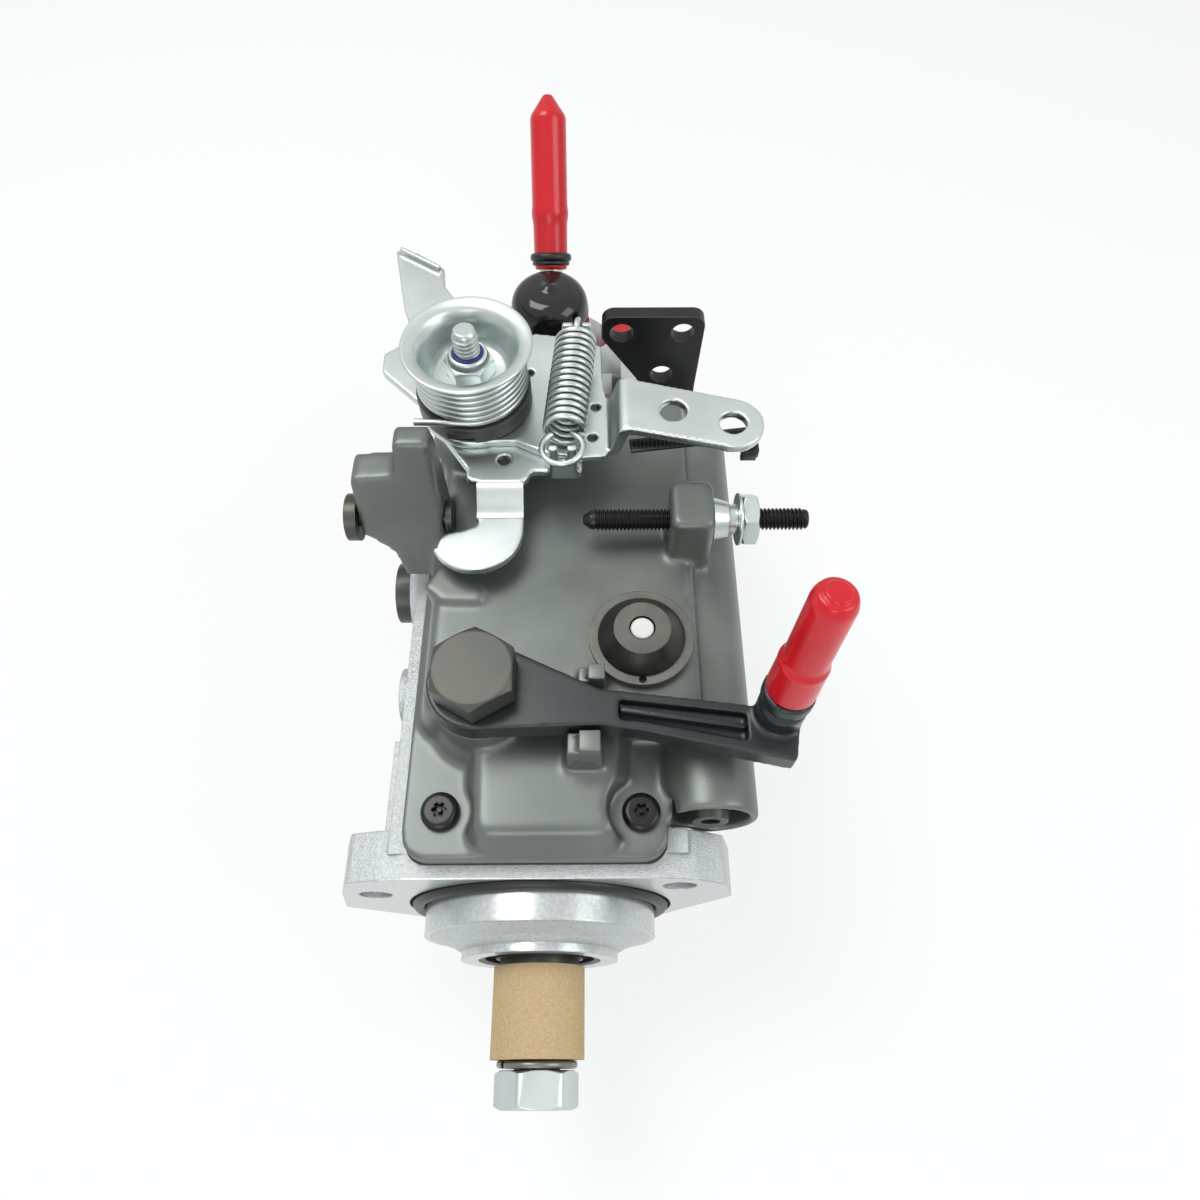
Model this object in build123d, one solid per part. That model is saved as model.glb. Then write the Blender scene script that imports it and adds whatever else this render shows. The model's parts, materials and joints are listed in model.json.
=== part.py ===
"""Rotary distributor diesel injection pump with mechanical governor, as an assembly of separate pieces.

Frame: the origin lies on the drive axis at the mounting face of the flange. -Y points out of the drive end,
+Y runs to the rear, +X is to the right seen from the drive end and +Z is up. Lengths are millimetres.
"""

from build123d import *
from math import cos, radians, sin, sqrt
import os

# ---------------------------------------------------------------- driving dimensions

# clearances
RUN = 0.05              # radial running clearance of a shaft in its hole
SEAT = 0.3              # gap between curved or moving faces that nearly touch
THREAD = 0.1            # gap round a screw shank in its hole

# mounting flange and pilot
PILOT_R = 36.07
PILOT_LEN = 9.8
NOSE_R = 24.3
NOSE_LEN = 6.6             # from the pilot's face to the end of the nose
NOSE_SLOPE_LEN = 4.2       # part of it that slopes as cast, behind the turned ring
FLANGE_T = 14.0
BOLT_CIRCLE_R = 52.5
BOLT_HOLE_R = 5.0
EAR_ANGLES = (157.0, 37.0, -83.0)
SEAL_GROOVE_R = 40.8
SEAL_WIRE_R = 1.9

# housing barrel
BARREL_R = 42.0
BORE_R = 37.0
SIDE_LEFT = -41.0
SIDE_RIGHT = 44.0
JOINT_Z = 42.5
HOUSING_REAR = 168.0
CAVITY_FRONT = 20.0
WINDOW_HALF = 28.0
WINDOW_REAR = 150.0
REAR_FLANGE_STEP = 7.0    # how far the rear flange stands out from the barrel
REAR_FLANGE_T = 14.0
NUT_ACCESS_R = 8.5         # hollow behind each flange hole, for the nut
NUT_ACCESS_LEN = 20.0
LEFT_BOSSES = ((102.0, 24.0, 15.5, 3.5), (61.0, 28.0, 9.0, 3.5))   # Y, Z, radius, reach beyond the side
GOV_PIN_R = 2.5

# drive shaft line
SHAFT_R = 12.3
SHAFT_STEP_Y = -18.3
TAPER_BIG_R = 10.0
TAPER_SMALL_R = 8.5
THREAD_R = 6.9
TUBE_R = 14.0
TUBE_LEN = 25.3
WASHER_R = 12.05
WASHER_T = 2.6
NUT_AF = 22.0
NUT_H = 10.1
SEAL_OD_R = 19.0
SEAL_T = 7.0
BUSH_OD_R = 17.0
GOV_SEAT_R = 11.0
SHAFT_END_Y = 85.0
KEY_W = 4.0
KEY_LEN = 16.0

# governor
CARRIER_Y = 23.0
CARRIER_T = 4.0
CARRIER_R = 33.0
WEIGHT_PIVOT_Y = 31.0
WEIGHT_PIVOT_R = 24.0
WEIGHT_W = 22.0
WEIGHT_LEN = 18.0
PIN_R = 1.5
SLEEVE_FRONT = 34.8
SLEEVE_REAR = 64.0
SLEEVE_R = 14.0
ARM_PIVOT_Y = 66.0
ARM_PIVOT_Z = 36.0
ARM_T = 3.0
ARM_TOP_Z = 55.0
LINK_Z = 52.0
VALVE_X = 9.0
VALVE_Y = 140.0
VALVE_R = 4.5

# cam ring, rotor and advance
CAM_FRONT = 90.0
CAM_REAR = 110.0
CAM_OD_R = 36.7
CAM_BASE_R = 27.5
CAM_LOBE_R = 25.5
ROTOR_HEAD_R = 19.0
ROTOR_R = 10.95
ROLLER_R = 4.0
ROLLER_LEN = 13.0
PLUNGER_R = 3.95
ADVANCE_Y = 100.0
ADVANCE_BORE_R = 9.0
ADVANCE_HALF = 42.0
ADVANCE_WALL = 3.5
ADVANCE_TOP_WALL = 1.5
ADVANCE_FOOT = 24.0
PISTON_HALF = 20.0
ADVANCE_PIN_R = 3.0
ADVANCE_PAD_STEP = 1.5     # how far the pad stands out from the barrel
ADVANCE_PAD_HALF = 19.0
ADVANCE_SCREWS = ((-20.0, ADVANCE_Y - 13.0), (20.0, ADVANCE_Y + 13.0))

# hydraulic head and rear end
HEAD_R = 36.8
HEAD_FRONT = 113.5
HEAD_SCREW_ANGLES = (180.0, 270.0, 344.0)
HEAD_FLANGE_T = 20.0
BOSS_R = 30.5
BOSS_BEHIND_SOLENOID = 11.0
PLATE_SCREW_R = 24.5
LINER_R = 21.0
LINER_BORE_R = 15.0
LINER_OFFSET = 1.2
PUMP_SHAFT_R = 6.0
END_PLATE_T = 23.0
SCREW_R = 3.0
OUTLET_X = 28.2
OUTLET_Z = 28.2
OUTLET_HEX_AF = 16.6
OUTLET_HEX_LEN = 24.0
OUTLET_LEN = 34.0
OUTLET_CAP_LEN = 22.0
OUTLET_CAP_R = 8.2
SOLENOID_X = 1.3
SOLENOID_Y = 203.0
SOLENOID_PAD_Z = 36.0
SOLENOID_CAP_R = 14.7
SOLENOID_CAP_Z = 63.5
INLET_X = 1.2
INLET_BEHIND_SOLENOID = 20.5
INLET_BEND_Z = 53.5
INLET_BEND_R = 9.0
INLET_TUBE_R = 4.4
INLET_LEAN = 41.0
INLET_CAP_R = 6.7
INLET_CAP_LEN = 59.3
INLET_PIPE_LEN = 43.0

# cable bracket behind the head flange
BRACKET_T = 5.0
BRACKET_HOLES = ((27.8, 62.9), (50.0, 62.9), (43.4, 42.0))
BRACKET_HOLE_R = 4.2
BRACKET_SCREWS = ((48.0, 20.0), (48.0, 4.0))

# governor cover
GASKET_T = 0.8
COVER_LEFT = -36.0
COVER_RIGHT = 38.0
COVER_WIDE = 43.0
COVER_FRONT = 3.8
COVER_REAR = 164.0
PLINTH_TOP = 50.5
COVER_TOP = 66.0
COVER_WALL = 4.0
PAD_SCREWS = ((-25.5, 16.5), (30.4, 16.0))
REAR_SCREWS = ((-26.0, 157.5), (34.0, 157.5))
PORT_X = 50.0
PORT_Z = 47.0
PORT_R = 13.6
PORT_FRONT = 14.6
PORT_REAR = 146.0
PORT_BORE_R = 10.9
PORT_DEPTH = 14.0
PEG_TOP = 74.5
BULGE_TOP = 59.5
PAD_R = 9.6

# return connection
BANJO_X = -14.5
BANJO_Y = 45.5
BANJO_BOSS_Z = 66.2
WASHER_THIN = 0.8
EYE_R = 13.6
EYE_H = 8.0
BANJO_HEX_AF = 21.5
BANJO_HEX_H = 8.6
BANJO_SHANK_R = 6.0
PIPE_END = (66.7, 36.3)
RETURN_LEAN = (-6.1, 3.9)  # turns about X and Y of the pipe's upright end
RETURN_BEND_Z = 82.0
RETURN_CAP_R = 5.7
RETURN_CAP_START = 7.0
RETURN_CAP_LEN = 42.0

# conical cap
CONE_X = 31.1
CONE_Y = 62.0
CONE_R = 15.0
CONE_TOP_R = 8.0
CONE_BASE_T = 2.6
CONE_H = 5.8
CONE_HOLE_R = 3.7

# stops
STOP_Y = 98.0
STOP_Z = 75.0
STUD_R = 3.3
STUD_LEFT = 14.3
STUD_RIGHT = 82.0
LUG_LEFT = 40.0
LUG_RIGHT = 53.0
LUG_LEN = 17.0
LUG_TOP = 84.0
IDLE_Y = 101.5
IDLE_Z = 72.0
IDLE_DISC_R = 5.0
IDLE_TIP_X = -25.2
IDLE_SHANK_R = 2.9

# lever stack on the throttle shaft
LEVER_X = -19.2
LEVER_Y = 137.5
LEVER_SHAFT_R = 6.0
LEVER_BOSS_R = 13.0
LEVER_BOSS_Z = 77.2
STOP_LEVER_Z = 78.0
LEVER_T = 3.0
BEND_R = 3.4
FINGER_Z = 73.0
COLLAR_R = 17.6
CUP_RIM_R = 19.5
CUP_R = 14.6
CUP_TOP = 108.0
CUP_BOTTOM = 90.2
CUP_FLOOR = 96.0
CUP_FLOOR_R = 10.8
CUP_WALL = 1.6
COIL_R = 17.0
COIL_WIRE_R = 1.2
COIL_TURNS = 7
LEVER_NUT_AF = 13.0
ARM_RISE = 10.0
ARM_HOLES = ((41.2, 124.1), (58.6, 119.3))
ARM_HOLE_R = 4.0
SPRING_FRONT = (8.4, 113.4, 91.0)
SPRING_REAR = (12.6, 158.0, 93.2)
SPRING_R = 6.4
SPRING_WIRE_R = 0.9
SPRING_TURNS = 14

# ---------------------------------------------------------------- derived sizes

COVER_BOTTOM = JOINT_Z + GASKET_T
REAR_FLANGE_R = BARREL_R + REAR_FLANGE_STEP
HEAD_SCREW_R = BARREL_R + 1.0
ADVANCE_PAD_Z = -BARREL_R - ADVANCE_PAD_STEP
ADVANCE_Z = ADVANCE_PAD_Z - ADVANCE_TOP_WALL - ADVANCE_BORE_R
BOSS_REAR = SOLENOID_Y + BOSS_BEHIND_SOLENOID
INLET_Y = SOLENOID_Y + INLET_BEHIND_SOLENOID
REST_Z = ADVANCE_Z - ADVANCE_BORE_R - ADVANCE_WALL
HEAD_FLANGE_REAR = HOUSING_REAR + HEAD_FLANGE_T
END_PLATE_REAR = BOSS_REAR + END_PLATE_T
TUBE_FRONT = SHAFT_STEP_Y - TUBE_LEN
WASHER_FRONT = TUBE_FRONT - WASHER_T
NUT_FRONT = WASHER_FRONT - NUT_H
THROTTLE_LEVER_Z = STOP_LEVER_Z + LEVER_T
COLLAR_Z = THROTTLE_LEVER_Z + LEVER_T
ARM_Z = THROTTLE_LEVER_Z + ARM_RISE
EYE_BOTTOM = BANJO_BOSS_Z + WASHER_THIN
EYE_TOP = EYE_BOTTOM + EYE_H
BANJO_HEAD_Z = EYE_TOP + WASHER_THIN
CRANK_Z = LINK_Z + 0.8 + SEAT
OUTLET_PLACES = ((OUTLET_X, OUTLET_Z), (-OUTLET_X, OUTLET_Z), (-OUTLET_X, -OUTLET_Z), (OUTLET_X, -OUTLET_Z))


def ring_places(radius, angles):
    """Points on a circle, as pairs of coordinates."""
    return tuple((radius * cos(radians(a)), radius * sin(radians(a))) for a in angles)


EAR_HOLES = ring_places(BOLT_CIRCLE_R, EAR_ANGLES)
HEAD_SCREWS = ring_places(HEAD_SCREW_R, HEAD_SCREW_ANGLES)
PLATE_SCREWS = ring_places(PLATE_SCREW_R, (40, 140, 220, 320))

STANDING = (Align.CENTER, Align.CENTER, Align.MIN)

parts = {}


# ---------------------------------------------------------------- helpers

def rod_x(r, x0, x1, y, z):
    """Cylinder along X."""
    return Pos((x0 + x1) / 2, y, z) * Rot(0, 90, 0) * Cylinder(r, abs(x1 - x0))


def rod_y(r, y0, y1, x=0.0, z=0.0):
    """Cylinder along Y."""
    return Pos(x, (y0 + y1) / 2, z) * Rot(90, 0, 0) * Cylinder(r, abs(y1 - y0))


def rod_z(r, z0, z1, x, y):
    """Cylinder along Z."""
    return Pos(x, y, (z0 + z1) / 2) * Cylinder(r, abs(z1 - z0))


def tube_y(r_out, r_in, y0, y1, x=0.0, z=0.0):
    """Ring along Y."""
    return rod_y(r_out, y0, y1, x, z) - rod_y(r_in, y0 - 1, y1 + 1, x, z)


def block(x0, x1, y0, y1, z0, z1):
    """Box between two corners."""
    return Pos((x0 + x1) / 2, (y0 + y1) / 2, (z0 + z1) / 2) * Box(abs(x1 - x0), abs(y1 - y0), abs(z1 - z0))


def hex_z(af, z0, z1, x, y, turn=0.0):
    """Hexagonal prism along Z with chamfered corners at its top."""
    prism = extrude(RegularPolygon(af / sqrt(3), 6), z1 - z0)
    crown = Cone(af / 2 + (z1 - z0) * 1.7, af / 2 - 0.3, z1 - z0, align=STANDING)
    return Pos(x, y, z0) * Rot(0, 0, turn) * (prism & crown)


def hex_y(af, y0, y1, x=0.0, z=0.0, turn=0.0):
    """Hexagonal prism along Y with chamfered corners at its front (-Y) end."""
    return Pos(x, y1, z) * Rot(90, 0, 0) * hex_z(af, 0, y1 - y0, 0, 0, turn)


def hex_x(af, x0, x1, y, z, turn=0.0):
    """Hexagonal prism along X with chamfered corners at its +X end."""
    return Pos(x0, y, z) * Rot(0, 90, 0) * hex_z(af, 0, x1 - x0, 0, 0, turn)


def slab_y(outline, y0, y1):
    """A flat outline drawn in X and Z, made solid from y0 to y1."""
    return extrude(Plane.XZ.offset(-y0) * outline, amount=y1 - y0, dir=(0, 1, 0))


def slab_z(outline, z0, z1):
    """A flat outline drawn in X and Y, made solid from z0 to z1."""
    return extrude(Pos(0, 0, z0) * outline, amount=z1 - z0)


def rounded(points, radius):
    """Closed polygon with every corner rounded."""
    face = make_face(Polyline(*points, close=True))
    return fillet(face.vertices(), radius)


def coil_row(mean_r, wire_r, turns, length):
    """Coil spring standing on the XY plane as a row of wire rings on a thin web."""
    pitch = (length - 2 * wire_r) / (turns - 1)
    section = Pos(mean_r, length / 2) * Rectangle(wire_r * 0.7, length - wire_r)
    for n in range(turns):
        section += Pos(mean_r, wire_r + n * pitch) * Circle(wire_r)
    return revolve(Plane.XZ * section, Axis.Z)


# ---------------------------------------------------------------- housing

def flange_outline():
    """Three-eared flange in X and Z, flat along its top under the cover."""
    low_x, low_z = EAR_HOLES[2]
    points = [
        (-36.0, JOINT_Z), (36.0, JOINT_Z), (46.0, 40.2), (55.0, 33.5), (59.0, 16.0), (42.0, -12.5),
        (low_x + 15.0, low_z), (low_x + 12.0, REST_Z), (low_x - 12.0, REST_Z), (low_x - 15.0, low_z),
        (-43.5, -16.0), (-62.0, 1.0), (-57.5, 24.0), (-53.2, 37.6), (-44.0, 41.0),
    ]
    return rounded(points, 3.0)


def make_housing():
    barrel_top = Pos((SIDE_LEFT + SIDE_RIGHT) / 2, (JOINT_Z - 4) / 2 - 2)
    section = Circle(BARREL_R) + barrel_top * Rectangle(SIDE_RIGHT - SIDE_LEFT, JOINT_Z + 8)
    section = section & (Pos(0, JOINT_Z - 50) * Rectangle(200, 100))
    body = slab_y(section, FLANGE_T / 2, HOUSING_REAR)
    body += block(SIDE_LEFT, SIDE_RIGHT, FLANGE_T / 2, HOUSING_REAR, 0, JOINT_Z)
    body += slab_y(flange_outline(), 0, FLANGE_T)
    body += rod_y(PILOT_R, -PILOT_LEN, 1)
    body += rod_y(NOSE_R, -PILOT_LEN - NOSE_LEN, 0)
    # step of the casting behind the left ear, and the bosses down the left side
    body += block(SIDE_LEFT - 4.0, SIDE_LEFT + 4, 8, 44, 4, 32)
    for y, z, r, reach in LEFT_BOSSES:
        body += rod_x(r, SIDE_LEFT - reach, SIDE_LEFT + 3, y, z)
    # rear flange for the hydraulic head and the flat pad for the advance housing
    rear = Circle(REAR_FLANGE_R) & (Pos(0, JOINT_Z - 60) * Rectangle(200, 120))
    body += slab_y(rear, HOUSING_REAR - REAR_FLANGE_T, HOUSING_REAR)
    body += block(-26, 26, ADVANCE_Y - ADVANCE_PAD_HALF, ADVANCE_Y + ADVANCE_PAD_HALF, ADVANCE_PAD_Z, -20)
    # rough sloping face from the pilot's edge to the turned ring of the nose
    body += revolve(Plane.XY * make_face(Polyline(
        (NOSE_R - 2, -PILOT_LEN + 1), (PILOT_R - 1.5, -PILOT_LEN + 1), (PILOT_R - 1.5, -PILOT_LEN),
        (NOSE_R + 3.5, -PILOT_LEN - NOSE_SLOPE_LEN * 0.55), (NOSE_R, -PILOT_LEN - NOSE_SLOPE_LEN),
        (NOSE_R - 2, -PILOT_LEN - NOSE_SLOPE_LEN), close=True)), Axis.Y)
    # seal groove round the pilot root
    body -= tube_y(SEAL_GROOVE_R + 0.6, PILOT_R - 1.0, 0, 2 * SEAL_WIRE_R + 0.2)
    # bores
    body -= rod_y(SEAL_OD_R, -PILOT_LEN - NOSE_LEN - 1, -PILOT_LEN - NOSE_LEN + SEAL_T + 0.5)
    body -= rod_y(BUSH_OD_R, -PILOT_LEN - NOSE_LEN, CAVITY_FRONT + 1)
    body -= rod_y(BORE_R, CAVITY_FRONT, HOUSING_REAR + 1)
    body -= block(-WINDOW_HALF, WINDOW_HALF, CAVITY_FRONT + 4, WINDOW_REAR, 0, JOINT_Z + 1)
    # flange holes, with room behind them for the nuts
    for x, z in EAR_HOLES:
        body -= rod_y(BOLT_HOLE_R, -1, FLANGE_T + 1, x, z)
        body -= rod_y(NUT_ACCESS_R, FLANGE_T, FLANGE_T + NUT_ACCESS_LEN, x, z)
    # governor arm pin, advance pin slot, cover and head screw holes
    body -= rod_x(GOV_PIN_R + RUN, -WINDOW_HALF - 4, WINDOW_HALF + 4, ARM_PIVOT_Y, ARM_PIVOT_Z)
    body -= block(-9, 9, ADVANCE_Y - 5, ADVANCE_Y + 5, -BARREL_R - 10, -BORE_R + 2)
    for x, y in PAD_SCREWS + REAR_SCREWS:
        body -= rod_z(SCREW_R + THREAD, JOINT_Z - 11, JOINT_Z + 1, x, y)
    for x, z in HEAD_SCREWS:
        body -= rod_y(SCREW_R + THREAD, HOUSING_REAR - 15, HOUSING_REAR + 1, x, z)
    for x, y in ADVANCE_SCREWS:
        body -= rod_z(SCREW_R + THREAD, ADVANCE_PAD_Z - 1, ADVANCE_PAD_Z + 8.5, x, y)
    # scallop along the right edge for the side port of the cover
    return body - rod_y(PORT_R + SEAT, PORT_FRONT - 0.5, PORT_REAR + SEAT, PORT_X, PORT_Z)


def cover_outline(corner):
    """Outline of the joint between housing and cover, wider towards the rear."""
    return rounded([(COVER_LEFT, COVER_FRONT), (COVER_RIGHT, COVER_FRONT), (COVER_RIGHT, 26),
                    (COVER_WIDE, 34), (COVER_WIDE, COVER_REAR), (COVER_LEFT, COVER_REAR)], corner)


def make_gasket():
    opening = Pos(0, (WINDOW_REAR + CAVITY_FRONT + 4) / 2) * Rectangle(
        2 * WINDOW_HALF, WINDOW_REAR - CAVITY_FRONT - 4)
    sheet = slab_z(cover_outline(6) - opening, JOINT_Z, COVER_BOTTOM)
    for x, y in PAD_SCREWS + REAR_SCREWS:
        sheet -= rod_z(SCREW_R + THREAD, JOINT_Z - 1, COVER_BOTTOM + 1, x, y)
    return sheet - rod_y(PORT_R + SEAT, PORT_FRONT - 0.5, PORT_REAR + SEAT, PORT_X, PORT_Z)


# ---------------------------------------------------------------- governor cover

def idle_block():
    """Idle stop on the left of the cover: a low wing, a tall post and a front face that leans back."""
    outline = rounded([(-52.8, 90), (-39.6, 91), (-38.6, 102), (-28.2, 102), (-27.3, 83), (-27.3, 52),
                       (-42.5, 52), (-44.4, 62), (-53.1, 69.5)], 1.8)
    solid = slab_y(outline, 88, 112)
    lean = Pos(0, 93, 55) * Rot(-14.4, 0, 0) * Pos(0, -25, 0) * Box(120, 50, 160)
    return solid - lean


def peg(x0, x1, y0, y1, notch_x):
    """Locating peg beside the return pipe, with an L-shaped notch in its top."""
    base = Pos((x0 + x1) / 2, (y0 + y1) / 2, PLINTH_TOP - 2) * Rectangle(x1 - x0 + 3, y1 - y0 + 2.4)
    column = extrude(base, PEG_TOP - PLINTH_TOP + 2, taper=3.0)
    return column - block(x0 - 3, notch_x, y0 - 3, y1 + 3, PEG_TOP - 2.4, PEG_TOP + 1)


def make_cover():
    plinth = slab_z(cover_outline(7), COVER_BOTTOM, PLINTH_TOP)
    main_base = rounded([(COVER_LEFT + 1.0, 36), (52, 36), (52, COVER_REAR - 1.5),
                         (COVER_LEFT + 1.0, COVER_REAR - 1.5)], 9)
    main = extrude(Pos(0, 0, PLINTH_TOP - 4) * main_base, COVER_TOP - PLINTH_TOP + 4, taper=14.0)
    main = fillet(main.faces().sort_by(Axis.Z)[-1].edges(), 3.5)
    bulge_base = rounded([(-18.5, 4.1), (26.5, 4.1), (29, 44), (-20, 44)], 8)
    bulge = extrude(Pos(0, 0, PLINTH_TOP - 1) * bulge_base, BULGE_TOP - PLINTH_TOP + 1, taper=23.0)
    bulge = fillet(bulge.faces().sort_by(Axis.Z)[-1].edges(), 3.6)
    cover = plinth + main + bulge
    cover += rod_z(EYE_R - 0.4, PLINTH_TOP - 2, BANJO_BOSS_Z, BANJO_X, BANJO_Y)
    cover += Pos(BANJO_X, BANJO_Y, PLINTH_TOP - 1) * Cone(
        EYE_R + 4, EYE_R - 1, 8, align=STANDING)
    cover += idle_block()
    cover += peg(10.5, 19.0, 26.2, 31.6, 13.6)
    cover += peg(13.3, 20.3, 46.6, 50.8, 16.0)
    lug = slab_z(rounded([(LUG_LEFT, STOP_Y - LUG_LEN / 2), (LUG_RIGHT, STOP_Y - LUG_LEN / 2),
                          (LUG_RIGHT, STOP_Y + LUG_LEN / 2), (LUG_LEFT, STOP_Y + LUG_LEN / 2)], 2.5),
                 COVER_TOP - 8, LUG_TOP)
    cover += fillet(lug.faces().sort_by(Axis.Z)[-1].edges(), 1.6)
    cover += rod_z(LEVER_BOSS_R, COVER_TOP - 6, LEVER_BOSS_Z, LEVER_X, LEVER_Y)
    cover += Pos(LEVER_X, LEVER_Y, COVER_TOP - 1) * Cone(
        LEVER_BOSS_R + 4, LEVER_BOSS_R, 5, align=STANDING)
    # raised corner pad under the idle stop
    cover += slab_z(rounded([(-33.5, 79.5), (-29, 88), (-14.8, 79), (-15.6, 74.4), (-28, 75)], 2.0),
                    COVER_TOP - 6, COVER_TOP + 1.5)
    # the side port runs along the right edge, below the joint as well as above it
    cover -= block(-80, 80, -20, 200, 20, COVER_BOTTOM)
    cover += rod_y(PORT_R, PORT_FRONT, PORT_REAR, PORT_X, PORT_Z)
    # hollow that holds the governor spring and link
    hollow = rounded([(COVER_LEFT + 5, 42), (34, 42), (34, 149.5), (COVER_LEFT + 5, 149.5)], 8)
    hollow_height = COVER_TOP - COVER_WALL - COVER_BOTTOM + 1
    cover -= extrude(Pos(0, 0, COVER_BOTTOM - 1) * hollow, hollow_height, taper=10.0)
    # holes
    for x, y in PAD_SCREWS:
        cover -= rod_z(PAD_R, PLINTH_TOP, PLINTH_TOP + 20, x, y)
        cover -= rod_z(SCREW_R + THREAD, COVER_BOTTOM - 1, PLINTH_TOP + 1, x, y)
    for x, y in REAR_SCREWS:
        cover -= rod_z(PAD_R - 2.5, PLINTH_TOP, PLINTH_TOP + 20, x, y)
        cover -= rod_z(SCREW_R + THREAD, COVER_BOTTOM - 1, PLINTH_TOP + 1, x, y)
    cover -= rod_y(PORT_BORE_R, PORT_FRONT - 1, PORT_FRONT + PORT_DEPTH, PORT_X, PORT_Z)
    cover -= rod_z(LEVER_SHAFT_R, COVER_TOP - 20, LEVER_BOSS_Z + 1, LEVER_X, LEVER_Y)
    cover -= rod_z(BANJO_SHANK_R + THREAD, PLINTH_TOP, BANJO_BOSS_Z + 1, BANJO_X, BANJO_Y)
    cover -= rod_z(CONE_HOLE_R, COVER_TOP - 10, COVER_TOP + 1, CONE_X, CONE_Y)
    cover -= rod_x(STUD_R + THREAD, LUG_LEFT - 1, LUG_RIGHT + 1, STOP_Y, STOP_Z)
    cover -= rod_x(IDLE_SHANK_R + THREAD, -60, -20, IDLE_Y, IDLE_Z)
    # slot on the front of the plinth, round hollow beside the stop lug, room for the right flange stud
    cover -= block(8, 30, COVER_FRONT - 1, COVER_FRONT + 0.6, 46.2, 47.2)
    cover -= Pos(49.0, 76.5, COVER_TOP + 1.5) * Sphere(4.5)
    ear_x, ear_z = EAR_HOLES[1]
    return cover - rod_y(BOLT_HOLE_R + SEAT, PORT_FRONT - 1, PORT_FRONT + NUT_ACCESS_LEN, ear_x, ear_z)


def security_screw(x, y):
    """Button head screw with a six-lobed socket and a centre pin."""
    head = Pos(x, y, PLINTH_TOP) * Cylinder(5.4, 3.2, align=STANDING)
    head = fillet(head.faces().sort_by(Axis.Z)[-1].edges(), 1.8)
    socket = rod_z(1.5, PLINTH_TOP + 1.2, PLINTH_TOP + 4, x, y)
    for n in range(6):
        lobe_x = x + 1.5 * cos(radians(60 * n))
        lobe_y = y + 1.5 * sin(radians(60 * n))
        socket += rod_z(0.6, PLINTH_TOP + 1.2, PLINTH_TOP + 4, lobe_x, lobe_y)
    head = head - socket + rod_z(0.7, PLINTH_TOP + 1, PLINTH_TOP + 2.8, x, y)
    return head + rod_z(SCREW_R, JOINT_Z - 10, PLINTH_TOP + 0.5, x, y)


# ---------------------------------------------------------------- drive shaft line

def make_shaft_line():
    shaft = rod_y(THREAD_R, NUT_FRONT + 0.3, TUBE_FRONT)
    shaft += Pos(0, TUBE_FRONT, 0) * Rot(-90, 0, 0) * Cone(
        TAPER_SMALL_R, TAPER_BIG_R, TUBE_LEN, align=STANDING)
    shaft += rod_y(SHAFT_R, SHAFT_STEP_Y, CARRIER_Y - 0.5)
    shaft += rod_y(GOV_SEAT_R, CARRIER_Y - 1, SHAFT_END_Y)
    shaft += block(-4, 4, SHAFT_END_Y - 1, SHAFT_END_Y + 6, -9, 9)
    key_y = TUBE_FRONT + 4
    key_slot = block(-KEY_W / 2, KEY_W / 2, key_y, key_y + KEY_LEN, TAPER_SMALL_R - 2.0, TAPER_SMALL_R + 6)
    shaft -= key_slot
    shaft = shaft.solids().sort_by(SortBy.VOLUME)[-1]
    key = block(-KEY_W / 2 + 0.02, KEY_W / 2 - 0.02, key_y + 0.1, key_y + KEY_LEN - 0.1,
                TAPER_SMALL_R - 2.0, TAPER_SMALL_R + 1.4)
    nut = hex_y(NUT_AF, NUT_FRONT, WASHER_FRONT, turn=5.0)
    nut -= rod_y(THREAD_R + THREAD, NUT_FRONT - 1, WASHER_FRONT + 1)
    washer = tube_y(WASHER_R, THREAD_R + 0.3, WASHER_FRONT, TUBE_FRONT)
    washer -= Rot(0, -20, 0) * block(0, WASHER_R + 2, WASHER_FRONT - 1, TUBE_FRONT + 1, -0.7, 0.7)
    tube = tube_y(TUBE_R, TAPER_BIG_R + 0.2, TUBE_FRONT, SHAFT_STEP_Y)
    seal = tube_y(SEAL_OD_R, SHAFT_R + RUN, -PILOT_LEN - NOSE_LEN + 0.5, -PILOT_LEN - NOSE_LEN + SEAL_T + 0.5)
    seal -= tube_y(SEAL_OD_R - 2, SHAFT_R + 1.2, -PILOT_LEN - NOSE_LEN, -PILOT_LEN - NOSE_LEN + 2.0)
    bush = tube_y(BUSH_OD_R, SHAFT_R + RUN, -PILOT_LEN - NOSE_LEN + SEAL_T + 0.5, CAVITY_FRONT)
    ring = Rot(90, 0, 0) * Torus(PILOT_R + SEAL_WIRE_R + 0.35, SEAL_WIRE_R)
    parts["drive_shaft"] = shaft
    parts["shaft_key"] = key
    parts["shaft_nut"] = nut
    parts["spring_washer"] = washer
    parts["shaft_sleeve"] = tube
    parts["shaft_oil_seal"] = seal
    parts["shaft_bush"] = bush
    parts["flange_seal_ring"] = Pos(0, SEAL_WIRE_R + 0.1, 0) * ring


# ---------------------------------------------------------------- governor

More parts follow.
